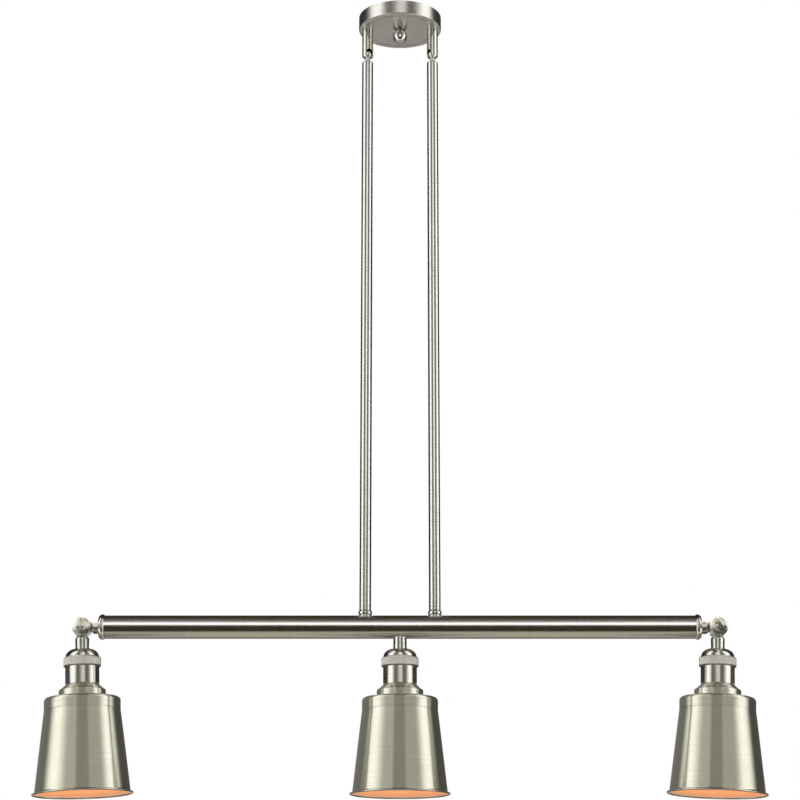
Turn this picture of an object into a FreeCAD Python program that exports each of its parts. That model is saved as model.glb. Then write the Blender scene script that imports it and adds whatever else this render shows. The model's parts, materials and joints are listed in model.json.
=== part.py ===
import FreeCAD
import Part
import math
import os

# Linear island pendant: a round canopy carries two jointed stems, the stems carry a round bar, and the bar
# carries three lamps. The middle lamp is fixed; the outer two tilt on clamped knuckles at the bar's ends.
#
# Frame: origin on the ceiling plane at the canopy's centre, +Z up, X along the bar, -Y to the front.
# All sizes are in millimetres and all angles in degrees. Each lamp is drawn in a frame of its own, whose
# origin is on the bar's axis (at the knuckle's pivot on the outer lamps), with -Z down the lamp.

Vector = FreeCAD.Vector
UP = Vector(0, 0, 1)
FRONT_TO_BACK = Vector(0, 1, 0)
ALONG_BAR = Vector(1, 0, 0)

# ---------------------------------------------------------------- fits
thread_clearance = 0.05      # radial, between a thread and its hole
slip_clearance = 0.05        # radial, where one sleeve slides into another
running_clearance = 0.10     # between faces that turn against each other
turning_clearance = 0.40     # around the knuckle's eyes and caps
parallel_tolerance = 1e-6    # sine of the angle below which two directions count as one

# ---------------------------------------------------------------- threads, nuts and wire bores
thread_diameter = 9.8
thread_engagement = 12.0
wire_bore = 6.0
nut_across_flats = 14.0
nut_thickness = 3.0
thread_past_nut = 2.2
saddle_nut_height = 6.0

# ---------------------------------------------------------------- canopy
canopy_diameter = 114.3
canopy_height = 19.0
canopy_wall = 1.2
canopy_edge_radius = 2.0
canopy_groove_diameter = 96.0
canopy_groove_width = 0.8
canopy_groove_depth = 0.4
canopy_step_diameter = 49.4
canopy_step_depth = 0.4

crossbar_end_gap = 3.45       # between the crossbar's end and the canopy's wall
crossbar_width = 20.0
crossbar_thickness = 2.4
box_slot_end_margin = 2.05    # metal left beyond a slot; the two screws then stand 88.9 apart
box_slot_width = 5.0
box_slot_length = 12.0

stud_diameter = 6.0
stud_nut_across_flats = 10.0
stud_nut_thickness = 4.0
ground_screw_offset = 18.0
ground_screw_diameter = 4.0
ground_screw_head_diameter = 8.0
ground_screw_head_height = 2.4
ground_screw_slot_width = 1.2
ground_screw_slot_depth = 1.0

finial_diameter = 20.0
finial_drop = 8.5
finial_thread_depth = 12.4

# ---------------------------------------------------------------- hang-straight swivels
stem_inset = 12.15           # from the canopy's side to the axis of a stem
barrel_length = 40.5
barrel_bore = 12.8
barrel_edge = 0.8
ball_diameter = 12.0
ball_above_lip = 4.5
throat_diameter = 10.0
mouth_diameter = 12.4
swivel_neck_diameter = 7.2
swivel_neck_length = 7.0
stud_wire_bore = 4.0
slot_width = 7.8
slot_height = 11.0
left_slot_angle = -68.0      # direction of the slot in plan, from +X
right_slot_angle = -140.0

# ---------------------------------------------------------------- stems
stem_diameter = 15.2
stem_wall = 1.6
stem_thread_length = 14.0
long_stem_length = 304.0
short_stem_length = 150.0
stem_top_chamfer = 2.0
coupling_height = 4.0
coupling_edge = 0.3
ferrule_height = 4.0
collar_diameter = 18.4
collar_height = 6.5

# ---------------------------------------------------------------- bar
bar_diameter = 30.0
bar_wall = 1.5
bar_length = 762.0
cap_bead_diameter = 33.0
cap_bead_width = 6.2
cap_crown_height = 1.7
cap_crown_diameter = 19.0
cap_crown_bulge = 0.75        # share of the crown's height that is reached half way in
cap_spigot_length = 10.0
cap_spigot_wall = 2.4

# ---------------------------------------------------------------- knuckles
knuckle_diameter = 25.2
knuckle_arm_length = 21.3
knuckle_arm_diameter = 17.8
knuckle_shoulder_height = 4.4
tongue_width = 12.6
tongue_thickness = 7.0
front_cap_rim = 1.4
rear_cap_rim = 3.2
cap_dome_height = 4.6
cap_flat_diameter = 8.8
screw_diameter = 5.8
screw_hole_gap = 0.3
screw_end_recess = 1.5
screw_hub_diameter = 8.0
screw_hub_height = 3.0
paddle_length = 18.5
paddle_depth = 22.0
paddle_thickness = 3.8
paddle_corner_radius = 5.0
left_paddle_angle = 3.0
right_paddle_angle = -37.0

# ---------------------------------------------------------------- lamps
lamp_tilt = 2.4              # the outer lamps hang this far inwards
centre_neck_diameter = 17.2
neck_collar_diameter = 17.4
neck_collar_height = 7.4
socket_cap_height = 10.4
socket_cap_top_diameter = 17.5
socket_cap_diameter = 42.6
socket_cap_wall = 1.2
socket_cap_boss_height = 7.4
socket_skirt_length = 10.9
knurled_ring_diameter = 48.0
knurled_ring_height = 12.9
knurled_ring_chamfer = 1.6
socket_shell_diameter = 43.4
socket_shell_wall = 1.0
socket_shell_drop = 22.4
socket_shell_overlap = 6.0
socket_shell_lip = 1.2
holder_height = 16.8
holder_neck_height = 0.3
holder_cone_height = 6.2
holder_edge_radius = 1.4
holder_diameter = 59.8
holder_wall = 1.2
shade_top_diameter = 97.4
shade_height = 122.4
shade_wall = 1.0
shade_edge_radius = 4.5
shade_band_height = 15.8
shade_line_depth = 0.35
shade_line_width = 0.6
shade_cone_diameter = 120.8
shade_rim_diameter = 128.2
shade_lip_height = 4.6
shade_lip_sweep = 0.38        # share of the lip's flare that is reached at the middle of its curve
shade_bead_height = 2.6
shade_nut_height = 4.0
shade_nut_width = 4.2

insert_top_gap = 4.9
insert_diameter = 36.0
insert_flange_height = 4.0
insert_nose_diameter = 32.6
insert_nose_length = 24.8
insert_wire_hole = 3.0
insert_wire_spacing = 18.0
contact_shell_diameter = 27.6
contact_shell_wall = 0.45
contact_shell_length = 28.0
contact_rivet_diameter = 4.0
contact_disc_diameter = 9.0
contact_disc_thickness = 0.6
contact_reach = 4.2

bulb_base_diameter = 26.2
bulb_base_length = 24.6
bulb_base_wall = 0.6
bulb_thread_pitch = 3.6
bulb_thread_depth = 0.9
bulb_thread_turns = 5
bulb_tip_diameter = 11.0
bulb_tip_height = 3.0
bulb_button_height = 0.8
bulb_glass_diameter = 60.0
bulb_glass_wall = 0.8
bulb_neck_diameter = 25.6
bulb_length = 108.0
bulb_flare_radius = 60.0

# ---------------------------------------------------------------- levels that follow from the sizes
thread_hole = thread_diameter + 2 * thread_clearance
crossbar_length = canopy_diameter - 2 * (canopy_wall + crossbar_end_gap)
box_screw_spacing = crossbar_length - 2 * box_slot_end_margin - box_slot_length
stem_spacing = canopy_diameter - 2 * stem_inset
canopy_face_z = -canopy_height
canopy_floor_z = canopy_face_z + canopy_wall
finial_seat_z = canopy_face_z + canopy_step_depth
barrel_lip_z = canopy_face_z - barrel_length
ball_z = barrel_lip_z + ball_above_lip
upper_stem_top_z = barrel_lip_z - swivel_neck_length
upper_coupling_z = upper_stem_top_z - long_stem_length
middle_stem_top_z = upper_coupling_z - coupling_height
lower_coupling_z = middle_stem_top_z - long_stem_length
lower_stem_top_z = lower_coupling_z - coupling_height
ferrule_top_z = lower_stem_top_z - short_stem_length
collar_top_z = ferrule_top_z - ferrule_height
bar_top_z = collar_top_z - collar_height
bar_z = bar_top_z - bar_diameter / 2
bar_bore = bar_diameter - 2 * bar_wall
cap_face_x = bar_length / 2 + cap_bead_width + cap_crown_height
pivot_x = cap_face_x + knuckle_arm_length
stem_places = [-stem_spacing / 2, stem_spacing / 2]

# levels in a lamp's own frame
neck_foot_z = -knuckle_arm_length
socket_cap_top_z = neck_foot_z - neck_collar_height
knurled_ring_top_z = socket_cap_top_z - socket_cap_height
knurled_ring_foot_z = knurled_ring_top_z - knurled_ring_height
shell_foot_z = knurled_ring_foot_z - socket_shell_drop
shade_top_z = shell_foot_z - holder_height
shade_rim_z = shade_top_z - shade_height
skirt_foot_z = knurled_ring_top_z - socket_skirt_length
shell_top_z = knurled_ring_foot_z + socket_shell_overlap
shell_bore = socket_shell_diameter - 2 * socket_shell_wall
skirt_diameter = shell_bore - 2 * slip_clearance
skirt_bore = skirt_diameter - 2 * socket_cap_wall
nose_hole = insert_nose_diameter + 2 * slip_clearance
insert_seat_z = shell_foot_z + socket_shell_lip
insert_top_z = knurled_ring_top_z - insert_top_gap
nose_foot_z = insert_seat_z - insert_nose_length
socket_well_z = nose_foot_z + contact_shell_length
bulb_tip_z = socket_well_z - contact_reach - contact_disc_thickness - running_clearance
bulb_base_foot_z = bulb_tip_z - bulb_base_length


# ---------------------------------------------------------------- drawing helpers
def cylinder(diameter, low_z, high_z, x=0.0, y=0.0):
    """Upright cylinder between two levels."""
    return Part.makeCylinder(diameter / 2, high_z - low_z, Vector(x, y, low_z), UP)


def tube(outside, inside, low_z, high_z, x=0.0, y=0.0):
    """Upright tube between two levels."""
    return cylinder(outside, low_z, high_z, x, y).cut(cylinder(inside, low_z, high_z, x, y))


def revolve(outline):
    """Solid turned about Z. An entry of the outline is a point (radius, z), or a pair of points that
    bends the outline through the first of them to the second."""
    def place(point):
        return Vector(point[0], 0, point[1])

    edges = []
    start = place(outline[0])
    for step in outline[1:]:
        if isinstance(step[0], tuple):
            end = place(step[1])
            edges.append(Part.Arc(start, place(step[0]), end).toShape())
        else:
            end = place(step)
            edges.append(Part.LineSegment(start, end).toShape())
        start = end
    edges.append(Part.LineSegment(start, place(outline[0])).toShape())
    return Part.Face(Part.Wire(edges)).revolve(Vector(0, 0, 0), UP, 360)


def round_corner(centre, across, along):
    """Middle point of a quarter round about a centre; across and along are signed radii."""
    return (centre[0] + across * math.sqrt(0.5), centre[1] + along * math.sqrt(0.5))


def hexagon(across_flats, low_z, high_z, x=0.0, y=0.0):
    """Upright hexagonal block between two levels."""
    reach = across_flats / math.sqrt(3)
    corners = [Vector(x + reach * math.cos(math.radians(60 * n)),
                      y + reach * math.sin(math.radians(60 * n)), low_z) for n in range(7)]
    return Part.Face(Part.makePolygon(corners)).extrude(Vector(0, 0, high_z - low_z))


def hex_nut(across_flats, hole, low_z, high_z, x=0.0, y=0.0):
    """Hexagonal nut with its hole."""
    return hexagon(across_flats, low_z, high_z, x, y).cut(cylinder(hole, low_z, high_z, x, y))


def bar_rod(diameter, reach):
    """Cylinder on the bar's axis, in the frame of the pendant, as long as reach on each side."""
    return Part.makeCylinder(diameter / 2, 2 * reach, Vector(-reach, 0, bar_z), ALONG_BAR)


def cross_rod(diameter, low_y, high_y):
    """Cylinder from front to back through the origin, between two depths."""
    return Part.makeCylinder(diameter / 2, high_y - low_y, Vector(0, low_y, 0), FRONT_TO_BACK)


def to_bar_end(shape, side):
    """Takes a shape drawn about Z to the bar's axis, with its +Z outwards at that end of the bar."""
    turned = shape.copy()
    turned.rotate(Vector(0, 0, 0), FRONT_TO_BACK, 90 * side)
    turned.translate(Vector(0, 0, bar_z))
    return turned


def lamp_place(shape, side):
    """Takes a shape from a lamp's own frame to its place; side is -1, 0 or 1 along the bar."""
    placed = shape.copy()
    placed.rotate(Vector(0, 0, 0), FRONT_TO_BACK, lamp_tilt * side)
    placed.translate(Vector(pivot_x * side, 0, bar_z))
    return placed


def knuckle_place(shape, side):
    """Takes a shape drawn about the pivot to its bar end, without the lamp's tilt."""
    placed = shape.copy()
    placed.translate(Vector(pivot_x * side, 0, bar_z))
    return placed


# ---------------------------------------------------------------- canopy
def canopy_cup():
    radius = canopy_diameter / 2
    inner = radius - canopy_wall
    edge = canopy_edge_radius
    inner_edge = edge - canopy_wall
    cup = revolve([
        (0, canopy_face_z),
        (radius - edge, canopy_face_z),
        (round_corner((radius - edge, canopy_face_z + edge), edge, -edge), (radius, canopy_face_z + edge)),
        (radius, 0),
        (inner, 0),
        (inner, canopy_floor_z + inner_edge),
        (round_corner((inner - inner_edge, canopy_floor_z + inner_edge), inner_edge, -inner_edge),
         (inner - inner_edge, canopy_floor_z)),
        (0, canopy_floor_z),
    ])
    groove = tube(canopy_groove_diameter + canopy_groove_width, canopy_groove_diameter - canopy_groove_width,
                  canopy_face_z, canopy_face_z + canopy_groove_depth)
    step = cylinder(canopy_step_diameter, canopy_face_z, finial_seat_z)
    stud_hole = cylinder(stud_diameter + 2 * thread_clearance, canopy_face_z, canopy_floor_z)
    nipple_holes = [cylinder(thread_hole, canopy_face_z, canopy_floor_z, x) for x in stem_places]
    return cup.cut([groove, step, stud_hole] + nipple_holes)


def mounting_crossbar():
    bar = Part.makeBox(crossbar_width, crossbar_length, crossbar_thickness,
                       Vector(-crossbar_width / 2, -crossbar_length / 2, -crossbar_thickness))
    holes = [cylinder(stud_diameter + 2 * thread_clearance, -crossbar_thickness, 0),
             cylinder(ground_screw_diameter + 2 * thread_clearance, -crossbar_thickness, 0,
                      y=ground_screw_offset)]
    straight = box_slot_length - box_slot_width
    for y in (-box_screw_spacing / 2, box_screw_spacing / 2):
        holes.append(Part.makeBox(box_slot_width, straight, crossbar_thickness,
                                  Vector(-box_slot_width / 2, y - straight / 2, -crossbar_thickness)))
        holes.append(cylinder(box_slot_width, -crossbar_thickness, 0, y=y - straight / 2))
        holes.append(cylinder(box_slot_width, -crossbar_thickness, 0, y=y + straight / 2))
    return bar.cut(holes)


def canopy_stud():
    """Threaded rod from the crossbar down into the finial."""
    return cylinder(stud_diameter, finial_seat_z - running_clearance - thread_engagement, 0)


def ground_screw():
    """Screw for the earth wire, its head below the crossbar."""
    head_top_z = -crossbar_thickness
    head_foot_z = head_top_z - ground_screw_head_height
    head = cylinder(ground_screw_head_diameter, head_foot_z, head_top_z, y=ground_screw_offset)
    shank = cylinder(ground_screw_diameter, head_foot_z, 0, y=ground_screw_offset)
    slot = Part.makeBox(ground_screw_head_diameter, ground_screw_slot_width, ground_screw_slot_depth,
                        Vector(-ground_screw_head_diameter / 2,
                               ground_screw_offset - ground_screw_slot_width / 2, head_foot_z))
    return head.fuse(shank).cut(slot)


def canopy_fasteners():
    """The earth screw, the nut that holds the stud under the crossbar, and the two nuts that hold the
    swivel nipples inside the canopy."""
    stud_hole = stud_diameter + 2 * thread_clearance
    pieces = [ground_screw(), hex_nut(stud_nut_across_flats, stud_hole,
                                      -crossbar_thickness - stud_nut_thickness, -crossbar_thickness)]
    for x in stem_places:
        nut_top_z = canopy_floor_z + nut_thickness
        pieces.append(hex_nut(nut_across_flats, thread_hole, canopy_floor_z, nut_top_z, x))
    return pieces


def swivel_nipple(x):
    """Threaded tube through the canopy's floor, with a wider threaded plug inside the barrel."""
    top_z = canopy_floor_z + nut_thickness + thread_past_nut
    plug = cylinder(barrel_bore - 2 * thread_clearance, canopy_face_z - thread_engagement, canopy_face_z, x)
    thread = cylinder(thread_diameter, canopy_face_z, top_z, x)
    return plug.fuse(thread).cut(cylinder(wire_bore, canopy_face_z - thread_engagement, top_z, x))


def ball_finial():
    radius = finial_diameter / 2
    top_z = finial_seat_z - running_clearance
    centre_z = finial_seat_z - finial_drop
    seat_radius = math.sqrt(radius ** 2 - (top_z - centre_z) ** 2)
    ball = revolve([
        (0, top_z),
        (seat_radius, top_z),
        ((radius, centre_z), (0, centre_z - radius)),
    ])
    return ball.cut(cylinder(stud_diameter + 2 * thread_clearance, top_z - finial_thread_depth, top_z))


# ---------------------------------------------------------------- swivels and stems
def swivel_barrel(x, slot_angle):
    """Sleeve whose lower end holds the ball on a round seat, with a slot up one side of the mouth."""
    radius = stem_diameter / 2
    seat_radius = ball_diameter / 2 + running_clearance / 2
    throat = throat_diameter / 2
    throat_z = ball_z - math.sqrt(seat_radius ** 2 - throat ** 2)
    half_way = math.atan2(throat_z - ball_z, throat) / 2
    seat_middle = (seat_radius * math.cos(half_way), ball_z + seat_radius * math.sin(half_way))
    sleeve = revolve([
        (radius, canopy_face_z),
        (radius, barrel_lip_z + barrel_edge),
        (radius - barrel_edge, barrel_lip_z),
        (mouth_diameter / 2, barrel_lip_z),
        (throat, throat_z),
        (seat_middle, (seat_radius, ball_z)),
        (barrel_bore / 2, ball_z),
        (barrel_bore / 2, canopy_face_z),
    ])
    slot_top_z = barrel_lip_z + slot_height - slot_width / 2
    slot = Part.makeBox(radius, slot_width, slot_top_z - barrel_lip_z,
                        Vector(0, -slot_width / 2, barrel_lip_z))
    slot = slot.fuse(Part.makeCylinder(slot_width / 2, radius, Vector(0, 0, slot_top_z), ALONG_BAR))
    slot.rotate(Vector(0, 0, 0), UP, slot_angle)
    sleeve = sleeve.cut(slot)
    sleeve.translate(Vector(x, 0, 0))
    return sleeve


def ball_stud(x):
    """Ball, thin neck and the thread that screws into the upper stem."""
    ball = Part.makeSphere(ball_diameter / 2, Vector(x, 0, ball_z))
    neck = cylinder(swivel_neck_diameter, upper_stem_top_z, ball_z, x)
    foot_z = upper_stem_top_z - thread_engagement
    thread = cylinder(thread_diameter, foot_z, upper_stem_top_z, x)
    bore = cylinder(stud_wire_bore, foot_z, ball_z + ball_diameter / 2, x)
    return ball.fuse([neck, thread]).cut(bore)


def stem(x, top_z, length, top_chamfer=0.0):
    """Tube whose two ends are narrowed to the thread's size."""
    foot_z = top_z - length
    radius = stem_diameter / 2
    bore = radius - stem_wall
    thread = thread_hole / 2
    outline = [
        (thread, top_z),
        (radius - top_chamfer, top_z),
        (radius, foot_z),
        (thread, foot_z),
        (thread, foot_z + stem_thread_length),
        (bore, foot_z + stem_thread_length),
        (bore, top_z - stem_thread_length),
        (thread, top_z - stem_thread_length),
    ]
    if top_chamfer:
        outline.insert(2, (radius, top_z - top_chamfer))
    solid = revolve(outline)
    solid.translate(Vector(x, 0, 0))
    return solid


def stem_coupling(x, top_z):
    """Ring between two stems, with a thread up and a thread down. Its edges are broken, so that two fine
    lines show."""
    foot_z = top_z - coupling_height
    radius = stem_diameter / 2
    ring = revolve([
        (0, top_z),
        (radius - coupling_edge, top_z),
        (radius, top_z - coupling_edge),
        (radius, foot_z + coupling_edge),
        (radius - coupling_edge, foot_z),
        (0, foot_z),
    ])
    ring.translate(Vector(x, 0, 0))
    low_z = foot_z - thread_engagement
    high_z = top_z + thread_engagement
    return ring.fuse(cylinder(thread_diameter, low_z, high_z, x)).cut(cylinder(wire_bore, low_z, high_z, x))


def stem_ferrule(x):
    foot_z = ferrule_top_z - ferrule_height
    radius = stem_diameter / 2
    ring = revolve([
        (thread_hole / 2, ferrule_top_z),
        (radius - coupling_edge, ferrule_top_z),
        (radius, ferrule_top_z - coupling_edge),
        (radius, foot_z),
        (thread_hole / 2, foot_z),
    ])
    ring.translate(Vector(x, 0, 0))
    return ring


def bar_collar(x):
    """Bead collar between the foot ferrule and the bar, cut to sit round the bar."""
    radius = collar_diameter / 2
    waist = (collar_diameter + stem_diameter) / 4
    bead_foot_z = collar_top_z - collar_height
    ring = revolve([
        (thread_hole / 2, collar_top_z),
        (waist, collar_top_z),
        ((radius, collar_top_z - collar_height / 2), (waist, bead_foot_z)),
        (waist, bar_z),
        (thread_hole / 2, bar_z),
    ])
    ring.translate(Vector(x, 0, 0))
    return ring.cut(bar_rod(bar_diameter + 2 * slip_clearance, bar_length / 2))


# ---------------------------------------------------------------- bar
def bar_tube():
    tube_solid = bar_rod(bar_diameter, bar_length / 2).cut(bar_rod(bar_bore, bar_length / 2))
    holes = [cylinder(thread_hole, bar_z, collar_top_z, x) for x in stem_places]
    holes.append(cylinder(thread_hole, bar_z + neck_foot_z, bar_z))
    return tube_solid.cut(holes)


def bar_nipple(x):
    """Thread from inside the bar up through the collar and the ferrule into the lower stem."""
    top_z = ferrule_top_z + thread_engagement
    foot_z = bar_top_z - bar_wall - saddle_nut_height - thread_past_nut
    return tube(thread_diameter, wire_bore, foot_z, top_z, x)


def saddle_nuts():
    """Nuts inside the bar whose outer faces follow its bore: one per stem, and one for the middle lamp."""
    top_z = bar_z + bar_bore / 2
    foot_z = bar_z - bar_bore / 2
    nuts = [hex_nut(nut_across_flats, thread_hole, top_z - saddle_nut_height, top_z, x) for x in stem_places]
    nuts.append(hex_nut(nut_across_flats, thread_hole, foot_z, foot_z + saddle_nut_height))
    bore = bar_rod(bar_bore - 2 * slip_clearance, bar_length / 2)
    return [nut.common(bore).Solids[0] for nut in nuts]


def end_cap(side):
    """Beaded cap with a hollow spigot inside the bar, drawn with its +Z outwards from the tube's end."""
    radius = bar_diameter / 2
    spigot = bar_bore / 2 - slip_clearance
    face_z = cap_bead_width + cap_crown_height
    crown = cap_crown_diameter / 2
    crown_middle = ((radius + crown) / 2, cap_bead_width + cap_crown_height * cap_crown_bulge)
    cap = revolve([
        (thread_hole / 2, 0),
        (spigot - cap_spigot_wall, 0),
        (spigot - cap_spigot_wall, -cap_spigot_length),
        (spigot, -cap_spigot_length),
        (spigot, 0),
        (radius, 0),
        ((cap_bead_diameter / 2, cap_bead_width / 2), (radius, cap_bead_width)),
        (crown_middle, (crown, face_z)),
        (thread_hole / 2, face_z),
    ])
    cap.translate(Vector(0, 0, bar_length / 2))
    return to_bar_end(cap, side)


# ---------------------------------------------------------------- knuckles
def knuckle_arm(tongue_low_y):
    """Half a knuckle, drawn with its eye on the Y axis and its arm down -Z: a round arm with a rounded
    shoulder, a flat tongue and a round eye, and a hollow thread below the arm's foot."""
    radius = knuckle_arm_diameter / 2
    eye_radius = knuckle_diameter / 2
    shoulder_z = -eye_radius
    full_z = shoulder_z - knuckle_shoulder_height
    neck_radius = tongue_width / 2
    arm = revolve([
        (0, 0),
        (neck_radius, 0),
        (neck_radius, shoulder_z),
        (round_corner((neck_radius, full_z), radius - neck_radius, knuckle_shoulder_height),
         (radius, full_z)),
        (radius, neck_foot_z),
        (0, neck_foot_z),
    ])
    swept = cross_rod(knuckle_diameter + 2 * turning_clearance, -knuckle_diameter, knuckle_diameter)
    arm = arm.cut(swept)
    tongue = Part.makeBox(tongue_width, tongue_thickness, -full_z,
                          Vector(-tongue_width / 2, tongue_low_y, full_z))
    eye = cross_rod(knuckle_diameter, tongue_low_y, tongue_low_y + tongue_thickness)
    thread = cylinder(thread_diameter, neck_foot_z - thread_engagement, neck_foot_z)
    arm = arm.fuse([tongue, eye, thread])
    wire_way = cylinder(wire_bore, neck_foot_z - thread_engagement, shoulder_z - turning_clearance)
    return arm.cut(wire_way)


def lamp_side_arm():
    """The lamp's half: its tongue lies in front of the parting plane."""
    arm = knuckle_arm(-tongue_thickness - running_clearance / 2)
    return arm.cut(cross_rod(screw_diameter + 2 * screw_hole_gap, -knuckle_diameter, 0))


def bar_side_arm(side):
    """The bar's half: its tongue lies behind the parting plane, and its arm points to the bar."""
    arm = knuckle_arm(running_clearance / 2)
    arm = arm.cut(cross_rod(screw_diameter + 2 * thread_clearance, 0, knuckle_diameter))
    arm.rotate(Vector(0, 0, 0), FRONT_TO_BACK, 90 * side)
    return arm


def knuckle_cap(rim, hole, toward):
    """Domed cap on a knuckle's face; toward is -1 for the front cap and 1 for the rear cap."""
    radius = knuckle_diameter / 2
    flat = cap_flat_diameter / 2
    low = tongue_thickness + running_clearance / 2
    top = low + rim + cap_dome_height
    dome_middle = round_corner((flat, low + rim), radius - flat, cap_dome_height)
    cap = revolve([
        (hole / 2, low),
        (radius, low),
        (radius, low + rim),
        (dome_middle, (flat, top)),
        (hole / 2, top),
    ])
    cap.rotate(Vector(0, 0, 0), ALONG_BAR, -90 * toward)
    return cap


def knuckle_front_cap(side):
    """Front cap, through which the screw's shaft passes freely."""
    return knuckle_place(knuckle_cap(front_cap_rim, screw_diameter + 2 * screw_hole_gap, -1), side)


def knuckle_rear_cap(side):
    """Rear cap, into which the screw is threaded."""
    return knuckle_place(knuckle_cap(rear_cap_rim, screw_diameter + 2 * thread_clearance, 1), side)


def runs_along(edge, direction):
    """Whether a straight edge is parallel to a direction."""
    return edge.tangentAt(edge.FirstParameter).cross(direction).Length < parallel_tolerance


def thumb_screw(paddle_angle):
    """Shaft through the knuckle into the rear cap, with a hub and a flat paddle at the front."""
    hub_y = -(tongue_thickness + running_clearance / 2 + front_cap_rim + cap_dome_height + running_clearance)
    paddle_y = hub_y - screw_hub_height
    rear_y = tongue_thickness + running_clearance / 2 + rear_cap_rim + cap_dome_height
    shaft = cross_rod(screw_diameter, paddle_y, rear_y - screw_end_recess)
    hub = cross_rod(screw_hub_diameter, paddle_y, hub_y)
    paddle = Part.makeBox(paddle_thickness, paddle_depth, paddle_length,
                          Vector(-paddle_thickness / 2, paddle_y - paddle_depth, -paddle_length / 2))
    corners = [edge for edge in paddle.Edges
               if runs_along(edge, ALONG_BAR) and edge.CenterOfMass.y < paddle_y - paddle_depth / 2]
    paddle = paddle.makeFillet(paddle_corner_radius, corners)
    screw = shaft.fuse([hub, paddle])
    screw.rotate(Vector(0, 0, 0), FRONT_TO_BACK, paddle_angle)
    return screw


# ---------------------------------------------------------------- lamps, in a lamp's own frame
def centre_neck():
    """Neck of the middle lamp: cut to sit round the bar, with threads up into it and down."""
    top_z = -bar_bore / 2 + saddle_nut_height + thread_past_nut
    foot_z = neck_foot_z - thread_engagement
    body = cylinder(centre_neck_diameter, neck_foot_z, 0)
    body = body.cut(Part.makeCylinder(bar_diameter / 2 + slip_clearance, 2 * centre_neck_diameter,
                                      Vector(-centre_neck_diameter, 0, 0), ALONG_BAR))
    thread = cylinder(thread_diameter, foot_z, top_z)
    return body.fuse(thread).cut(cylinder(wire_bore, foot_z, top_z))


def neck_collar():
    return tube(neck_collar_diameter, thread_hole, socket_cap_top_z, neck_foot_z)


def socket_cap():
    """Domed cap with a threaded boss above and a skirt inside the knurled ring."""
    top = socket_cap_top_diameter / 2
    radius = socket_cap_diameter / 2
    skirt = skirt_diameter / 2
    bore = skirt_bore / 2
    roof_z = socket_cap_top_z - socket_cap_wall
    outside_middle = round_corner((top, knurled_ring_top_z), radius - top, socket_cap_height)
    inside_middle = round_corner((top, knurled_ring_top_z), bore - top, socket_cap_height - socket_cap_wall)
    cap = revolve([
        (0, socket_cap_top_z),
        (top, socket_cap_top_z),
        (outside_middle, (radius, knurled_ring_top_z)),
        (skirt, knurled_ring_top_z),
        (skirt, skirt_foot_z),
        (bore, skirt_foot_z),
        (bore, knurled_ring_top_z),
        (inside_middle, (top, roof_z)),
        (0, roof_z),
    ])
    boss = cylinder(socket_cap_top_diameter, socket_cap_top_z - socket_cap_boss_height, socket_cap_top_z)
    hole = cylinder(thread_hole, socket_cap_top_z - socket_cap_boss_height, socket_cap_top_z)
    return cap.fuse(boss).cut(hole)


def knurled_ring():
    """Ring that turns round the joint of cap and shell. The fine knurl is on its outer band."""
    radius = knurled_ring_diameter / 2
    chamfer = knurled_ring_chamfer
    top_z = knurled_ring_top_z - running_clearance
    step_z = shell_top_z + running_clearance
    upper_bore = skirt_diameter / 2 + running_clearance
    lower_bore = socket_shell_diameter / 2 + running_clearance
    return revolve([
        (upper_bore, top_z),
        (radius - chamfer, top_z),
        (radius, top_z - chamfer),
        (radius, knurled_ring_foot_z + chamfer),
        (radius - chamfer, knurled_ring_foot_z),
        (lower_bore, knurled_ring_foot_z),
        (lower_bore, step_z),
        (upper_bore, step_z),
    ])


def socket_shell():
    """Sleeve round the insert, with an inward lip at its foot."""
    radius = socket_shell_diameter / 2
    return revolve([
        (shell_bore / 2, shell_top_z),
        (radius, shell_top_z),
        (radius, shell_foot_z),
        (nose_hole / 2, shell_foot_z),
        (nose_hole / 2, insert_seat_z),
        (shell_bore / 2, insert_seat_z),
    ])


def socket_insert():
    """Porcelain body: a flange under the cap's skirt, a seat on the shell's lip and a threaded nose."""
    flange_top_z = skirt_foot_z - slip_clearance
    body = revolve([
        (0, insert_top_z),
        (insert_diameter / 2, insert_top_z),
        (insert_diameter / 2, flange_top_z),
        (shell_bore / 2 - slip_clearance, flange_top_z),
        (shell_bore / 2 - slip_clearance, flange_top_z - insert_flange_height),
        (insert_diameter / 2, flange_top_z - insert_flange_height),
        (insert_diameter / 2, insert_seat_z),
        (insert_nose_diameter / 2, insert_seat_z),
        (insert_nose_diameter / 2, nose_foot_z),
        (0, nose_foot_z),
    ])
    well = cylinder(contact_shell_diameter + 2 * slip_clearance, nose_foot_z, socket_well_z)
    holes = [cylinder(insert_wire_hole, socket_well_z, insert_top_z, x)
             for x in (-insert_wire_spacing / 2, insert_wire_spacing / 2)]
    return body.cut([well] + holes)


def socket_contacts():
    """Brass screw shell in the well, and the centre contact on its rivet."""
    shell = tube(contact_shell_diameter, contact_shell_diameter - 2 * contact_shell_wall,
                 nose_foot_z, socket_well_z)
    rivet_foot_z = socket_well_z - contact_reach
    rivet = cylinder(contact_rivet_diameter, rivet_foot_z, socket_well_z)
    disc = cylinder(contact_disc_diameter, rivet_foot_z - contact_disc_thickness, rivet_foot_z)
    return [shell, rivet.fuse(disc)]


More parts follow.
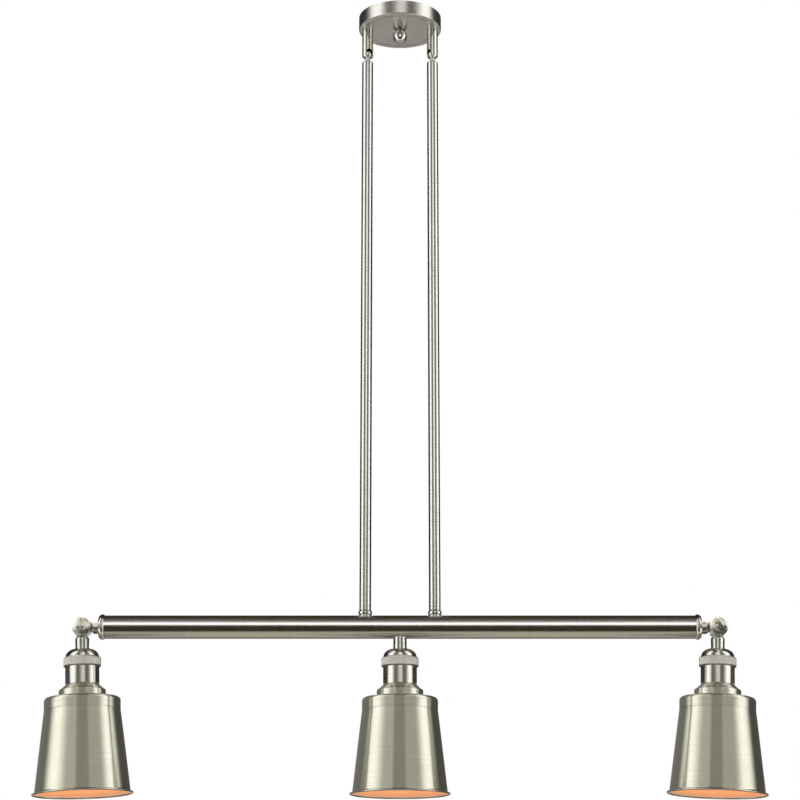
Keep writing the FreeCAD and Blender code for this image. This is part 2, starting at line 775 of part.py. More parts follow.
def shade_holder():
    """Conical collar between the socket shell and the shade, and the ring nut under the shade's top."""
    cone_top_z = shell_foot_z - holder_neck_height
    cone_foot_z = cone_top_z - holder_cone_height
    edge_foot_z = cone_foot_z - holder_edge_radius
    neck = socket_shell_diameter / 2
    large = holder_diameter / 2
    cone = large - holder_edge_radius
    wall = holder_wall
    edge_middle = round_corner((cone, edge_foot_z), holder_edge_radius, holder_edge_radius)
    collar = revolve([
        (nose_hole / 2, shell_foot_z),
        (neck, shell_foot_z),
        (neck, cone_top_z),
        (cone, cone_foot_z),
        (edge_middle, (large, edge_foot_z)),
        (large, shade_top_z),
        (large - wall, shade_top_z),
        (large - wall, edge_foot_z),
        (cone - wall, cone_foot_z - wall),
        (neck - wall, cone_top_z - wall),
        (nose_hole / 2, shell_foot_z - wall),
    ])
    nut_top_z = shade_top_z - shade_wall
    nut = tube(nose_hole + 2 * shade_nut_width, nose_hole, nut_top_z - shade_nut_height, nut_top_z)
    return [collar, nut]


def shade():
    """Spun shade: flat top with a round edge, a short straight band that ends in a scored line, a long
    cone, and a lip that flares to a beaded rim."""
    top = shade_top_diameter / 2
    edge = shade_edge_radius
    inner_edge = edge - shade_wall
    wall = shade_wall
    band_z = shade_top_z - shade_band_height
    line_half = shade_line_width / 2
    cone = shade_cone_diameter / 2
    cone_z = shade_rim_z + shade_lip_height
    rim = shade_rim_diameter / 2
    bead_z = shade_rim_z + shade_bead_height
    lip_middle = (cone + (rim - cone) * shade_lip_sweep, bead_z + (cone_z - bead_z) * shade_lip_sweep)
    inner_lip_middle = (lip_middle[0] - wall, lip_middle[1])
    return revolve([
        (nose_hole / 2, shade_top_z),
        (top - edge, shade_top_z),
        (round_corner((top - edge, shade_top_z - edge), edge, edge), (top, shade_top_z - edge)),
        (top, band_z + line_half),
        (top - shade_line_depth, band_z),
        (top, band_z - line_half),
        (cone, cone_z),
        (lip_middle, (rim, bead_z)),
        (rim, shade_rim_z),
        (rim - 2 * wall, shade_rim_z),
        (inner_lip_middle, (cone - wall, cone_z)),
        (top - wall, band_z - line_half),
        (top - wall, shade_top_z - edge),
        (round_corner((top - edge, shade_top_z - edge), inner_edge, inner_edge),
         (top - edge, shade_top_z - wall)),
        (nose_hole / 2, shade_top_z - wall),
    ])


def bulb_base():
    """Hollow metal screw base with round threads and a tip with its contact button, open to the glass."""
    crest = bulb_base_diameter / 2
    root = crest - bulb_thread_depth
    button_z = bulb_tip_z - bulb_button_height
    shoulder_z = button_z - bulb_tip_height
    outline = [
        (0, bulb_tip_z),
        (bulb_tip_diameter / 4, bulb_tip_z),
        (bulb_tip_diameter / 2, button_z),
        (root, shoulder_z),
    ]
    z = shoulder_z
    for _ in range(bulb_thread_turns):
        outline.append(((crest, z - bulb_thread_pitch / 2), (root, z - bulb_thread_pitch)))
        z = z - bulb_thread_pitch
    outline.append((root, bulb_base_foot_z))
    outline.append((0, bulb_base_foot_z))
    hollow = cylinder(2 * (root - bulb_base_wall), bulb_base_foot_z, shoulder_z)
    return revolve(outline).cut(hollow)


def bulb_glass():
    """Pear-shaped glass envelope, hollow, on the base's foot."""
    centre_z = bulb_tip_z - bulb_length + bulb_glass_diameter / 2

    def pear(shrink, top_z):
        ball = bulb_glass_diameter / 2 - shrink
        neck = bulb_neck_diameter / 2 - shrink
        flare = bulb_flare_radius + shrink
        lean = math.acos((neck + flare) / (ball + flare))
        join = (ball * math.cos(lean), centre_z + ball * math.sin(lean))
        flare_z = centre_z + (ball + flare) * math.sin(lean)
        flare_half = lean / 2
        flare_middle = (neck + flare - flare * math.cos(flare_half), flare_z - flare * math.sin(flare_half))
        ball_half = (lean - math.pi / 2) / 2
        ball_middle = (ball * math.cos(ball_half), centre_z + ball * math.sin(ball_half))
        return revolve([
            (0, top_z),
            (neck, top_z),
            (neck, flare_z),
            (flare_middle, join),
            (ball_middle, (0, centre_z - ball)),
        ])

    outside = pear(0.0, bulb_base_foot_z)
    inside = pear(bulb_glass_wall, bulb_base_foot_z - bulb_glass_wall)
    return outside.cut(inside)


# ---------------------------------------------------------------- nodes
def lamp_nodes(name, side):
    """Sub-parts of one lamp, keyed by node name."""
    neck = lamp_side_arm() if side else centre_neck()
    pieces = {
        "neck": [neck],
        "neck_collar": [neck_collar()],
        "socket_cap": [socket_cap()],
        "knurled_ring": [knurled_ring()],
        "socket_shell": [socket_shell()],
        "socket_insert": [socket_insert()],
        "socket_contacts": socket_contacts(),
        "shade_holder": shade_holder(),
        "shade": [shade()],
        "bulb_base": [bulb_base()],
        "bulb_glass": [bulb_glass()],
    }
    return {name + "_" + piece: [lamp_place(solid, side) for solid in solids]
            for piece, solids in pieces.items()}


def knuckle_nodes(name, side, paddle_angle):
    """Sub-parts of one knuckle other than the lamp's neck, keyed by node name."""
    return {
        name + "_end_cap": [end_cap(side)],
        name + "_knuckle_stub": [knuckle_place(bar_side_arm(side), side)],
        name + "_front_cap": [knuckle_front_cap(side)],
        name + "_thumb_screw": [knuckle_place(thumb_screw(paddle_angle), side)],
    }


def all_nodes():
    """Every sub-part of the pendant as a list of solids, keyed by node name."""
    nodes = {
        "canopy_cup": [canopy_cup()],
        "mounting_crossbar": [mounting_crossbar()],
        "canopy_stud": [canopy_stud()],
        "canopy_fasteners": canopy_fasteners(),
        "swivel_nipples": [swivel_nipple(x) for x in stem_places],
        "ball_finial": [ball_finial()],
        "left_swivel_barrel": [swivel_barrel(stem_places[0], left_slot_angle)],
        "right_swivel_barrel": [swivel_barrel(stem_places[1], right_slot_angle)],
        "ball_studs": [ball_stud(x) for x in stem_places],
        "upper_stems": [stem(x, upper_stem_top_z, long_stem_length, stem_top_chamfer) for x in stem_places],
        "middle_stems": [stem(x, middle_stem_top_z, long_stem_length) for x in stem_places],
        "lower_stems": [stem(x, lower_stem_top_z, short_stem_length) for x in stem_places],
        "stem_couplings": [stem_coupling(x, z) for x in stem_places
                           for z in (upper_coupling_z, lower_coupling_z)],
        "stem_ferrules": [stem_ferrule(x) for x in stem_places],
        "bar_collars": [bar_collar(x) for x in stem_places],
        "bar_nipples": [bar_nipple(x) for x in stem_places],
        "saddle_nuts": saddle_nuts(),
        "bar_tube": [bar_tube()],
        "knuckle_rear_caps": [knuckle_rear_cap(side) for side in (-1, 1)],
    }
    nodes.update(knuckle_nodes("left", -1, left_paddle_angle))
    nodes.update(knuckle_nodes("right", 1, right_paddle_angle))
    nodes.update(lamp_nodes("left", -1))
    nodes.update(lamp_nodes("centre", 0))
    nodes.update(lamp_nodes("right", 1))
    return nodes


def write_parts():
    """One file per node, as a compound where the node is a group of separate solids."""
    os.makedirs("parts", exist_ok=True)
    for name, solids in all_nodes().items():
        shape = solids[0] if len(solids) == 1 else Part.makeCompound(solids)
        shape.exportStep(os.path.join("parts", name + ".step"))


write_parts()
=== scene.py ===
"""Looks of the linear island pendant: canopy, two jointed stems, round bar and three lamps in satin nickel.

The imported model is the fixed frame. Turned pieces are spun again here with their fine edges, beads and knurl,
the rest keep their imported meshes, and all get procedural finishes. Lengths in the classes are millimetres.
"""

import json
import logging
import math
from dataclasses import dataclass, field
from enum import Enum, IntEnum
from functools import lru_cache
from typing import Iterable, Mapping, Sequence

import bmesh
import bpy
from mathutils import Matrix, Vector

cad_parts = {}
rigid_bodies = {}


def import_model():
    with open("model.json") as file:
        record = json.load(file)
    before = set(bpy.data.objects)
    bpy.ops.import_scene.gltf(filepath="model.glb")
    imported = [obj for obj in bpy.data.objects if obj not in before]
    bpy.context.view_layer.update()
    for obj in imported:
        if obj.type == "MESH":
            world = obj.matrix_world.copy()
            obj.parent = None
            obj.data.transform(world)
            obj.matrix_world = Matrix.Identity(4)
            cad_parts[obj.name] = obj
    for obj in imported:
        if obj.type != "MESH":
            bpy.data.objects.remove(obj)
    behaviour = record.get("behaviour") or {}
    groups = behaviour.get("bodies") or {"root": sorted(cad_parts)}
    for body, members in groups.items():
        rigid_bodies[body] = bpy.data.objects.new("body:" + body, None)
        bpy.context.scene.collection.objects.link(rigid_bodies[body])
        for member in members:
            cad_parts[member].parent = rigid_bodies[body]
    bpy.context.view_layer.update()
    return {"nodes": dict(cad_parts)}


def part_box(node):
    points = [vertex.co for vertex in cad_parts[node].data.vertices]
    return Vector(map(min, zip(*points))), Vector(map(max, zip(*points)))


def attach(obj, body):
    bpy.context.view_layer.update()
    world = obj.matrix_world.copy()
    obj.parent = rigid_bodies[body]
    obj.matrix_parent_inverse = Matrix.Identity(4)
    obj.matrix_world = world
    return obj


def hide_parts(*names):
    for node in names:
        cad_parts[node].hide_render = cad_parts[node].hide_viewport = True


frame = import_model()

log = logging.getLogger("pendant")

MM = 0.001
POLE = 1e-7                      # metres; a point of an outline nearer to the axis lies on it
SMOOTH_ANGLE = math.radians(32)  # edges sharper than this stay sharp
RIGHT_ANGLE = math.radians(90)
ACROSS_TURN = 0.25               # turns from the way round a piece to the way brushing spreads a highlight

Colour = tuple[float, float, float, float]
Value = "Signal | bpy.types.NodeSocket | float | tuple[float, ...]"


def colour(red: float, green: float, blue: float) -> Colour:
    """An opaque linear colour."""
    return (red, green, blue, 1.0)


# ------------------------------------------------------------------------------------------ shader maths
class Signal:
    """A number that runs through a material. An expression on signals adds its Math nodes."""

    def __init__(self, shader: "Shader", socket: bpy.types.NodeSocket) -> None:
        """Wraps a socket.

        Args:
            shader: the material that the socket belongs to.
            socket: an output that gives a number.
        """
        self.shader = shader
        self.socket = socket

    def maths(self, operation: str, *values: "Signal | float") -> "Signal":
        """Result of one Math node.

        Args:
            operation: the node's operation.
            values: its inputs in order.

        Returns:
            The node's output.
        """
        node = self.shader.node("ShaderNodeMath", {"operation": operation}, dict(enumerate(values)))
        return Signal(self.shader, node.outputs[0])

    def __add__(self, other: "Signal | float") -> "Signal":
        """Sum."""
        return self.maths("ADD", self, other)

    def __radd__(self, other: float) -> "Signal":
        """Sum, the number first."""
        return self.maths("ADD", other, self)

    def __sub__(self, other: "Signal | float") -> "Signal":
        """Difference."""
        return self.maths("SUBTRACT", self, other)

    def __rsub__(self, other: float) -> "Signal":
        """Difference, the number first."""
        return self.maths("SUBTRACT", other, self)

    def __mul__(self, other: "Signal | float") -> "Signal":
        """Product."""
        return self.maths("MULTIPLY", self, other)

    def __rmul__(self, other: float) -> "Signal":
        """Product, the number first."""
        return self.maths("MULTIPLY", other, self)

    def __pow__(self, other: float) -> "Signal":
        """Power."""
        return self.maths("POWER", self, other)

    def ramp(self, low: float, high: float) -> "Signal":
        """Smooth step.

        Args:
            low: value at which the step starts from 0.
            high: value at which it reaches 1.

        Returns:
            A signal from 0 to 1.
        """
        node = self.shader.node(
            "ShaderNodeMapRange",
            {"interpolation_type": "SMOOTHSTEP"},
            {"Value": self, "From Min": low, "From Max": high},
        )
        return Signal(self.shader, node.outputs[0])


class Shader:
    """A material or world under construction."""

    def __init__(self, tree: bpy.types.NodeTree) -> None:
        """Starts from an empty tree.

        Args:
            tree: the node tree to fill.
        """
        self.tree = tree
        tree.nodes.clear()

    def node(
        self,
        kind: str,
        settings: Mapping[str, object] | None = None,
        inputs: Mapping[int | str, "Value"] | None = None,
    ) -> bpy.types.Node:
        """Adds a node.

        Args:
            kind: the node's type.
            settings: its own settings, set first.
            inputs: values or links of its sockets, by name or number.

        Returns:
            The node.
        """
        node = self.tree.nodes.new(kind)
        for name, value in (settings or {}).items():
            setattr(node, name, value)
        for name, value in (inputs or {}).items():
            source = value.socket if isinstance(value, Signal) else value
            if isinstance(source, bpy.types.NodeSocket):
                self.tree.links.new(source, node.inputs[name])
            else:
                node.inputs[name].default_value = source
        return node

    def axes(self) -> tuple[bpy.types.NodeSocket, Signal, Signal, Signal]:
        """The piece's own coordinates.

        Returns:
            The coordinates as a vector, then X, Y and Z as signals, all in metres.
        """
        place = self.node("ShaderNodeTexCoord").outputs["Object"]
        parts = self.node("ShaderNodeSeparateXYZ", inputs={0: place}).outputs
        return (place, *(Signal(self, part) for part in parts))

    def vector(self, x: "Signal | float", y: "Signal | float", z: "Signal | float") -> bpy.types.NodeSocket:
        """Joins three numbers into a vector."""
        return self.node("ShaderNodeCombineXYZ", inputs={0: x, 1: y, 2: z}).outputs[0]

    def noise(self, place: bpy.types.NodeSocket, scale: float, detail: float = 2.0) -> Signal:
        """Soft noise.

        Args:
            place: where it is looked up.
            scale: repeats for each unit of place.
            detail: octaves of finer noise.

        Returns:
            A signal around one half.
        """
        node = self.node("ShaderNodeTexNoise", inputs={"Vector": place, "Scale": scale, "Detail": detail})
        return Signal(self, node.outputs[0])

    def blend(
        self, share: "Signal | float", first: "Value", second: "Value", mode: str = "MIX"
    ) -> bpy.types.NodeSocket:
        """Mixes two colours.

        Args:
            share: 0 gives the first and 1 the second.
            first: a colour or a link.
            second: a colour or a link.
            mode: how they are mixed.

        Returns:
            The mixed colour.
        """
        node = self.node(
            "ShaderNodeMix", {"data_type": "RGBA", "blend_type": mode}, {0: share, 6: first, 7: second}
        )
        return node.outputs[2]

    def bump(self, height: Signal, depth: float) -> bpy.types.NodeSocket:
        """Normal of a surface with small relief.

        Args:
            height: the relief, from 0 to 1.
            depth: its real depth in metres.

        Returns:
            The normal.
        """
        node = self.node("ShaderNodeBump", inputs={"Height": height, "Distance": depth, "Strength": 1.0})
        return node.outputs["Normal"]

    def surface(self, **sockets: "Value") -> bpy.types.Node:
        """Adds the main shader and the output.

        Args:
            sockets: values or links of the shader's sockets, with _ for a space in their names.

        Returns:
            The main shader.
        """
        named = {name.replace("_", " "): value for name, value in sockets.items()}
        main = self.node("ShaderNodeBsdfPrincipled", inputs=named)
        self.node("ShaderNodeOutputMaterial", inputs={"Surface": main.outputs[0]})
        return main


# ------------------------------------------------------------------------------------------ finishes
def blank(name: str) -> tuple[bpy.types.Material, Shader]:
    """Starts a material.

    Args:
        name: its name.

    Returns:
        The material, and its empty tree.
    """
    material = bpy.data.materials.new(name)
    material.use_nodes = True
    return material, Shader(material.node_tree)


class Grain(Enum):
    """Which way the brushing of a metal runs."""

    ROUND = "round"        # round the piece's own Z axis
    LENGTHWISE = "length"  # along Z
    BLANK = "blank"        # no direction


@dataclass(frozen=True)
class Metal:
    """Plated or bare metal with brushing, drifts of tone and faint handling marks."""

    name: str
    light: Colour
    dark: Colour
    roughness: float
    grain: Grain = Grain.ROUND
    line_width: float = 0.16       # millimetres across one brushed line
    line_length: float = 9.0       # millimetres along it
    depth: float = 0.004           # millimetres
    spread: float = 0.0            # how far the brushing draws a highlight out across its lines
    mottle: float = 0.06           # how much the roughness drifts
    grit: float = 0.10             # how much it changes from line to line
    band_scale: float = 0.21       # repeats of the coarse bands for each fine line
    cloud_size: float = 34.0       # millimetres across a drift of tone
    rub_size: float = 7.0          # millimetres across a patch rubbed by handling
    rub_limits: tuple[float, float] = (0.52, 0.74)   # noise where rubbing starts and is full
    tone_limits: tuple[float, float] = (0.32, 0.68)  # noise of the darkest and the lightest tone
    band_tone: float = 0.6         # share of the bands in the tone, beside the drifts
    line_relief: float = 0.65      # share of the fine lines in the relief, beside the bands

    def build(self) -> bpy.types.Material:
        """Makes the material.

        Returns:
            The material.
        """
        material, shader = blank(self.name)
        place, x, y, z = shader.axes()
        across = 1 / (self.line_width * MM)
        along = 1 / (self.line_length * MM)
        if self.grain is Grain.ROUND:
            ring = (x * x + y * y) ** 0.5 + z
            lines = shader.vector(x * along, y * along, ring * across)
        elif self.grain is Grain.LENGTHWISE:
            lines = shader.vector(x * across, y * across, z * along)
        else:
            lines = shader.vector(x * across, y * across, z * across)
        fine = shader.noise(lines, 1.0, detail=3.0)
        coarse = shader.noise(lines, self.band_scale)
        cloud = shader.noise(place, 1 / (self.cloud_size * MM), detail=3.0)
        rub = shader.noise(place, 1 / (self.rub_size * MM), detail=4.0).ramp(*self.rub_limits)
        worn = coarse * self.band_tone + cloud * (1 - self.band_tone)
        tone = shader.blend(worn.ramp(*self.tone_limits), self.dark, self.light)
        drift = (fine - 0.5) * self.grit + (cloud - 0.5) * self.mottle + rub * self.mottle * 0.5
        roughness = drift + self.roughness
        relief = fine * self.line_relief + coarse * (1 - self.line_relief)
        main = shader.surface(
            Base_Color=tone,
            Metallic=1.0,
            Roughness=roughness,
            Normal=shader.bump(relief, self.depth * MM),
        )
        if self.spread:
            main.inputs["Anisotropic"].default_value = self.spread
            main.inputs["Anisotropic Rotation"].default_value = ACROSS_TURN
        return material


@dataclass(frozen=True)
class LitInside:
    """Pale lacquer inside a shade, with the bulb's light painted in as an emitted glow: a painted glow that is
    dimmer at the lip, brighter and yellower at the socket. Heights are millimetres in the lamp's frame."""

    name: str
    # base colour of the lacquer, darkened and given a warm cast that stands in for the bulb's light
    lacquer_with_warm_cast: Colour = colour(0.50, 0.33, 0.20)
    # painted light: emitted colours that stand in for the bulb lighting the inside; the dim lip colour is
    # painted shade
    mouth: Colour = colour(0.56, 0.190, 0.058)
    deep: Colour = colour(0.90, 0.44, 0.175)
    lip: Colour = colour(0.20, 0.066, 0.020)
    lip_height: float = -203.0
    mouth_height: float = -214.0
    deep_height: float = -120.0
    speck_size: float = 1.4        # millimetres across a speck of the lacquer
    speck_depth: float = 0.02      # millimetres
    cloud_size: float = 26.0       # millimetres across a drift of the glow
    cloud_swing: float = 0.5       # how much the glow drifts
    cloud_mean: float = 0.10       # how far it is deepened on the whole
    roughness: float = 0.42
    speck_roughness: float = 0.12  # what a speck adds to it

    def build(self) -> bpy.types.Material:
        """Makes the material.

        Returns:
            The material.
        """
        material, shader = blank(self.name)
        place, _, _, z = shader.axes()
        speck = shader.noise(place, 1 / (self.speck_size * MM), detail=3.0)
        cloud = shader.noise(place, 1 / (self.cloud_size * MM))
        # Painted light: the emission colour stands in for the bulb's light on the inside, dimmer at the lip as
        # painted shade.
        depth = z.ramp(self.mouth_height * MM, self.deep_height * MM)
        glow = shader.blend(depth, self.mouth, self.deep)
        glow = shader.blend(z.ramp(self.mouth_height * MM, self.lip_height * MM), self.lip, glow)
        deepened = shader.blend(1.0, glow, glow, "MULTIPLY")
        glow = shader.blend((cloud - 0.5) * self.cloud_swing + self.cloud_mean, glow, deepened)
        shader.surface(
            Base_Color=self.lacquer_with_warm_cast,
            Roughness=speck * self.speck_roughness + self.roughness,
            Emission_Color=glow,
            Emission_Strength=1.0,
            Normal=shader.bump(speck, self.speck_depth * MM),
        )
        return material


@dataclass(frozen=True)
class Porcelain:
    """Glazed white ceramic with tiny pits."""

    name: str
    body: Colour = colour(0.78, 0.75, 0.69)
    pit: Colour = colour(0.60, 0.56, 0.49)
    ripple_size: float = 5.0       # millimetres across a ripple of the glaze
    pit_size: float = 0.7          # millimetres
    pit_limits: tuple[float, float] = (0.66, 0.74)   # noise where a pit starts and is full
    pit_tone: float = 0.7
    ripple_tone: float = 0.2
    pit_relief: float = 0.4        # depth of a pit beside that of a ripple
    depth: float = 0.04            # millimetres
    roughness: float = 0.12
    ripple_roughness: float = 0.15
    glaze: float = 0.6

    def build(self) -> bpy.types.Material:
        """Makes the material.

        Returns:
            The material.
        """
        material, shader = blank(self.name)
        place = shader.axes()[0]
        ripple = shader.noise(place, 1 / (self.ripple_size * MM), detail=3.0)
        pits = shader.noise(place, 1 / (self.pit_size * MM)).ramp(*self.pit_limits)
        shader.surface(
            Base_Color=shader.blend(pits * self.pit_tone + ripple * self.ripple_tone, self.body, self.pit),
            Roughness=ripple * self.ripple_roughness + self.roughness,
            Coat_Weight=self.glaze,
            Normal=shader.bump(ripple - pits * self.pit_relief, self.depth * MM),
        )
        return material


@dataclass(frozen=True)
class Glass:
    """Clear glass of a bulb with a faint warm cast."""

    name: str
    tint: Colour = colour(1.0, 0.965, 0.90)
    index: float = 1.47            # of refraction
    ripple_size: float = 16.0      # millimetres
    ripple_depth: float = 0.05     # millimetres
    dust_size: float = 0.5         # millimetres
    roughness: float = 0.01
    dust_roughness: float = 0.03

    def build(self) -> bpy.types.Material:
        """Makes the material.

        Returns:
            The material.
        """
        material, shader = blank(self.name)
        place = shader.axes()[0]
        ripple = shader.noise(place, 1 / (self.ripple_size * MM))
        dust = shader.noise(place, 1 / (self.dust_size * MM))
        shader.surface(
            Base_Color=self.tint,
            Roughness=dust * self.dust_roughness + self.roughness,
            IOR=self.index,
            Transmission_Weight=1.0,
            Normal=shader.bump(ripple, self.ripple_depth * MM),
        )
        return material


@dataclass(frozen=True)
class HotWire:
    """Glowing filament wire."""

    name: str
    glow: Colour = colour(1.0, 0.55, 0.18)
    hot: Colour = colour(1.0, 0.80, 0.45)
    metal: Colour = colour(0.30, 0.22, 0.16)
    strength: float = 9.0
    roughness: float = 0.5
    patch_size: float = 3.0        # millimetres along a hotter stretch
    patch_limits: tuple[float, float] = (0.35, 0.65)  # noise of the dullest and the hottest stretch

    def build(self) -> bpy.types.Material:
        """Makes the material.

        Returns:
            The material.
        """
        material, shader = blank(self.name)
        patches = shader.noise(shader.axes()[0], 1 / (self.patch_size * MM)).ramp(*self.patch_limits)
        shader.surface(
            Base_Color=self.metal,
            Roughness=self.roughness,
            Emission_Color=shader.blend(patches, self.glow, self.hot),
            Emission_Strength=self.strength,
        )
        return material


SATIN_NICKEL = Metal(
    "satin_nickel", colour(0.645, 0.633, 0.565), colour(0.585, 0.572, 0.502), 0.20, spread=0.75,
    depth=0.002, mottle=0.04, grit=0.05,
)
FIGURED_NICKEL = Metal(
    "satin_nickel_plain", colour(0.665, 0.652, 0.580), colour(0.600, 0.585, 0.515), 0.14, Grain.BLANK
)
SHADE_NICKEL = Metal(
    "shade_nickel", colour(0.640, 0.630, 0.520), colour(0.590, 0.578, 0.470), 0.23,
    line_width=0.22, line_length=14.0, depth=0.0025, spread=0.9, mottle=0.04,
)
CANOPY_NICKEL = Metal(
    "canopy_nickel", colour(0.648, 0.632, 0.590), colour(0.590, 0.570, 0.525), 0.28,
    line_width=0.20, line_length=12.0, depth=0.0005, spread=0.4, mottle=0.03, grit=0.03,
)
STEM_NICKEL = Metal(
    "stem_nickel", colour(0.645, 0.652, 0.605), colour(0.592, 0.600, 0.550), 0.12,
    line_width=0.14, line_length=6.0, depth=0.0004, spread=0.85, mottle=0.02, grit=0.02,
)
BAR_NICKEL = Metal(
    "bar_nickel", colour(0.655, 0.645, 0.610), colour(0.600, 0.590, 0.552), 0.33,
    line_width=0.18, line_length=10.0, depth=0.0012, spread=0.97, mottle=0.03, grit=0.04,
)
KNURLED_NICKEL = Metal(
    "knurled_nickel", colour(0.76, 0.752, 0.685), colour(0.64, 0.632, 0.570), 0.40,
    Grain.LENGTHWISE, line_width=0.30, line_length=4.0, depth=0.010, mottle=0.12,
)
ZINC = Metal(
    "zinc_steel", colour(0.60, 0.62, 0.62), colour(0.44, 0.46, 0.47), 0.36, Grain.BLANK,
    line_width=1.3, depth=0.012, mottle=0.2,
)
BRASS = Metal(
    "brass", colour(0.78, 0.56, 0.25), colour(0.62, 0.42, 0.17), 0.24, Grain.ROUND, depth=0.006
)
BULB_CAP = Metal(
    "bulb_cap", colour(0.80, 0.78, 0.74), colour(0.62, 0.60, 0.56), 0.28, Grain.ROUND,
    depth=0.008, mottle=0.14,
)
LIT_INSIDE = LitInside("lit_shade_inside")
PORCELAIN = Porcelain("glazed_porcelain")
BULB_GLASS = Glass("bulb_glass")
HOT_WIRE = HotWire("filament")
SUPPORT_WIRE = Metal(
    "support_wire", colour(0.55, 0.52, 0.48), colour(0.40, 0.38, 0.35), 0.35, Grain.LENGTHWISE
)

Finish = Metal | LitInside | Porcelain | Glass | HotWire


@lru_cache(maxsize=None)
def made(finish: Finish) -> bpy.types.Material:
    """The one material of a finish."""
    return finish.build()


# ------------------------------------------------------------------------------------------ turned meshes
class Leave(Enum):
    """How a quarter round leaves the point before it."""

    LEVEL = "level"
    UPRIGHT = "upright"


@dataclass(frozen=True)
class Stop:
    """One point of a half-section, in millimetres."""

    radius: float
    height: float
    zone: int            # material slot of the band from this point to the next
    groove: float        # depth of the knurl's grooves here


class Outline:
    """Half-section of a turned piece, drawn point by point, in millimetres."""

    def __init__(self, radius: float, height: float) -> None:
        """Starts the outline at a point.

        Args:
            radius: of the point.
            height: of the point.
        """
        self.zone = 0
        self.groove = 0.0
        self.stops = [Stop(radius, height, 0, 0.0)]

    def to(self, radius: float, height: float) -> "Outline":
        """Draws a straight line to a point."""
        self.stops.append(Stop(radius, height, self.zone, self.groove))
        return self

    def quarter(self, radius: float, height: float, leave: Leave, steps: int = 6) -> "Outline":
        """Draws a quarter of an ellipse to a point.

        Args:
            radius: where it ends.
            height: where it ends.
            leave: whether it starts out level or upright.
            steps: straight pieces in it.

        Returns:
            This outline.
        """
        start = self.stops[-1]
        for n in range(1, steps + 1):
            turn = math.pi / 2 * n / steps
            early, late = math.sin(turn), 1 - math.cos(turn)
            across, up = (early, late) if leave is Leave.LEVEL else (late, early)
            wide, high = (radius - start.radius) * across, (height - start.height) * up
            self.to(start.radius + wide, start.height + high)
        return self

    def arc(self, radius: float, height: float, curve: float, steps: int = 10) -> "Outline":
        """Draws a circular arc to a point.

        Args:
            radius: where it ends.
            height: where it ends.
            curve: radius of the arc; above 0 it bulges to the left of the way, below 0 to the right.
            steps: straight pieces in it.

        Returns:
            This outline.
        """
        start = self.stops[-1]
        across, up = radius - start.radius, height - start.height
        chord = math.hypot(across, up)
        half = math.asin(max(-1.0, min(1.0, chord / 2 / curve)))
        for n in range(1, steps + 1):
            turn = half * (2 * n / steps - 1)
            share = 0.5 + curve * math.sin(turn) / chord
            side = curve * (math.cos(turn) - math.cos(half)) / chord
            self.to(start.radius + across * share - up * side, start.height + up * share + across * side)
        return self

    def dress(self, zone: int) -> "Outline":
        """Gives the bands from the last point on another material slot.

        Args:
            zone: number of the slot.

        Returns:
            This outline.
        """
        last = self.stops.pop()
        self.zone = zone
        self.stops.append(Stop(last.radius, last.height, zone, last.groove))
        return self

    def knurl(self, groove: float) -> "Outline":
        """Sets the depth of the knurl's grooves for the points that follow."""
        self.groove = groove
        return self


def spin(outline: Outline, segments: int = 96, teeth: int = 0) -> bpy.types.Mesh:
    """Turns an outline about Z into a closed mesh.

    Args:
        outline: the half-section; its ends are joined unless both lie on the axis.
        segments: faces round the piece.
        teeth: teeth of a knurl, where the outline has grooves.

    Returns:
        The mesh, in metres.
    """
    points: list[tuple[float, float, float]] = []
    rings: list[list[int]] = []
    for stop in outline.stops:
        if stop.radius * MM < POLE:
            rings.append([len(points)] * segments)
            points.append((0.0, 0.0, stop.height * MM))
            continue
        rings.append(list(range(len(points), len(points) + segments)))
        for n in range(segments):
            angle = math.tau * n / segments
            dip = stop.groove * (0.5 - 0.5 * math.cos(angle * teeth))
            reach = (stop.radius - dip) * MM
            points.append((reach * math.cos(angle), reach * math.sin(angle), stop.height * MM))
    pairs = list(zip(range(len(rings) - 1), range(1, len(rings))))
    if outline.stops[0].radius * MM > POLE and outline.stops[-1].radius * MM > POLE:
        pairs.append((len(rings) - 1, 0))
    faces, zones = [], []
    for low, high in pairs:
        for n in range(segments):
            after = (n + 1) % segments
            corners = (rings[high][n], rings[high][after], rings[low][after], rings[low][n])
            faces.append(tuple(dict.fromkeys(corners)))
            zones.append(outline.stops[low].zone)
    mesh = bpy.data.meshes.new("turned")
    mesh.from_pydata(points, [], faces)
    mesh.polygons.foreach_set("material_index", zones)
    return finished(mesh)


def smooth(mesh: bpy.types.Mesh) -> bpy.types.Mesh:
    """Shades a mesh smooth and keeps its sharp edges sharp.

    Args:
        mesh: the mesh to shade.

    Returns:
        The same mesh.
    """
    mesh.polygons.foreach_set("use_smooth", [True] * len(mesh.polygons))
    mesh.set_sharp_from_angle(angle=SMOOTH_ANGLE)
    mesh.update()
    return mesh


def finished(mesh: bpy.types.Mesh) -> bpy.types.Mesh:
    """Turns a closed mesh's normals outwards and shades it smooth.

    Args:
        mesh: the mesh to finish.

    Returns:
        The same mesh.
    """
    shell = bmesh.new()
    shell.from_mesh(mesh)
    bmesh.ops.recalc_face_normals(shell, faces=shell.faces)
    shell.to_mesh(mesh)
    shell.free()
    return smooth(mesh)


def joined(meshes: Iterable[tuple[bpy.types.Mesh, Matrix]]) -> bpy.types.Mesh:
    """Puts meshes together.

    Args:
        meshes: each mesh with its place.

    Returns:
        One mesh that holds them all.
    """
    whole = bmesh.new()
    for mesh, place in meshes:
        moved = mesh.copy()
        moved.transform(place)
        whole.from_mesh(moved)
        bpy.data.meshes.remove(moved)
    mesh = bpy.data.meshes.new("joined")
    whole.to_mesh(mesh)
    whole.free()
    return smooth(mesh)


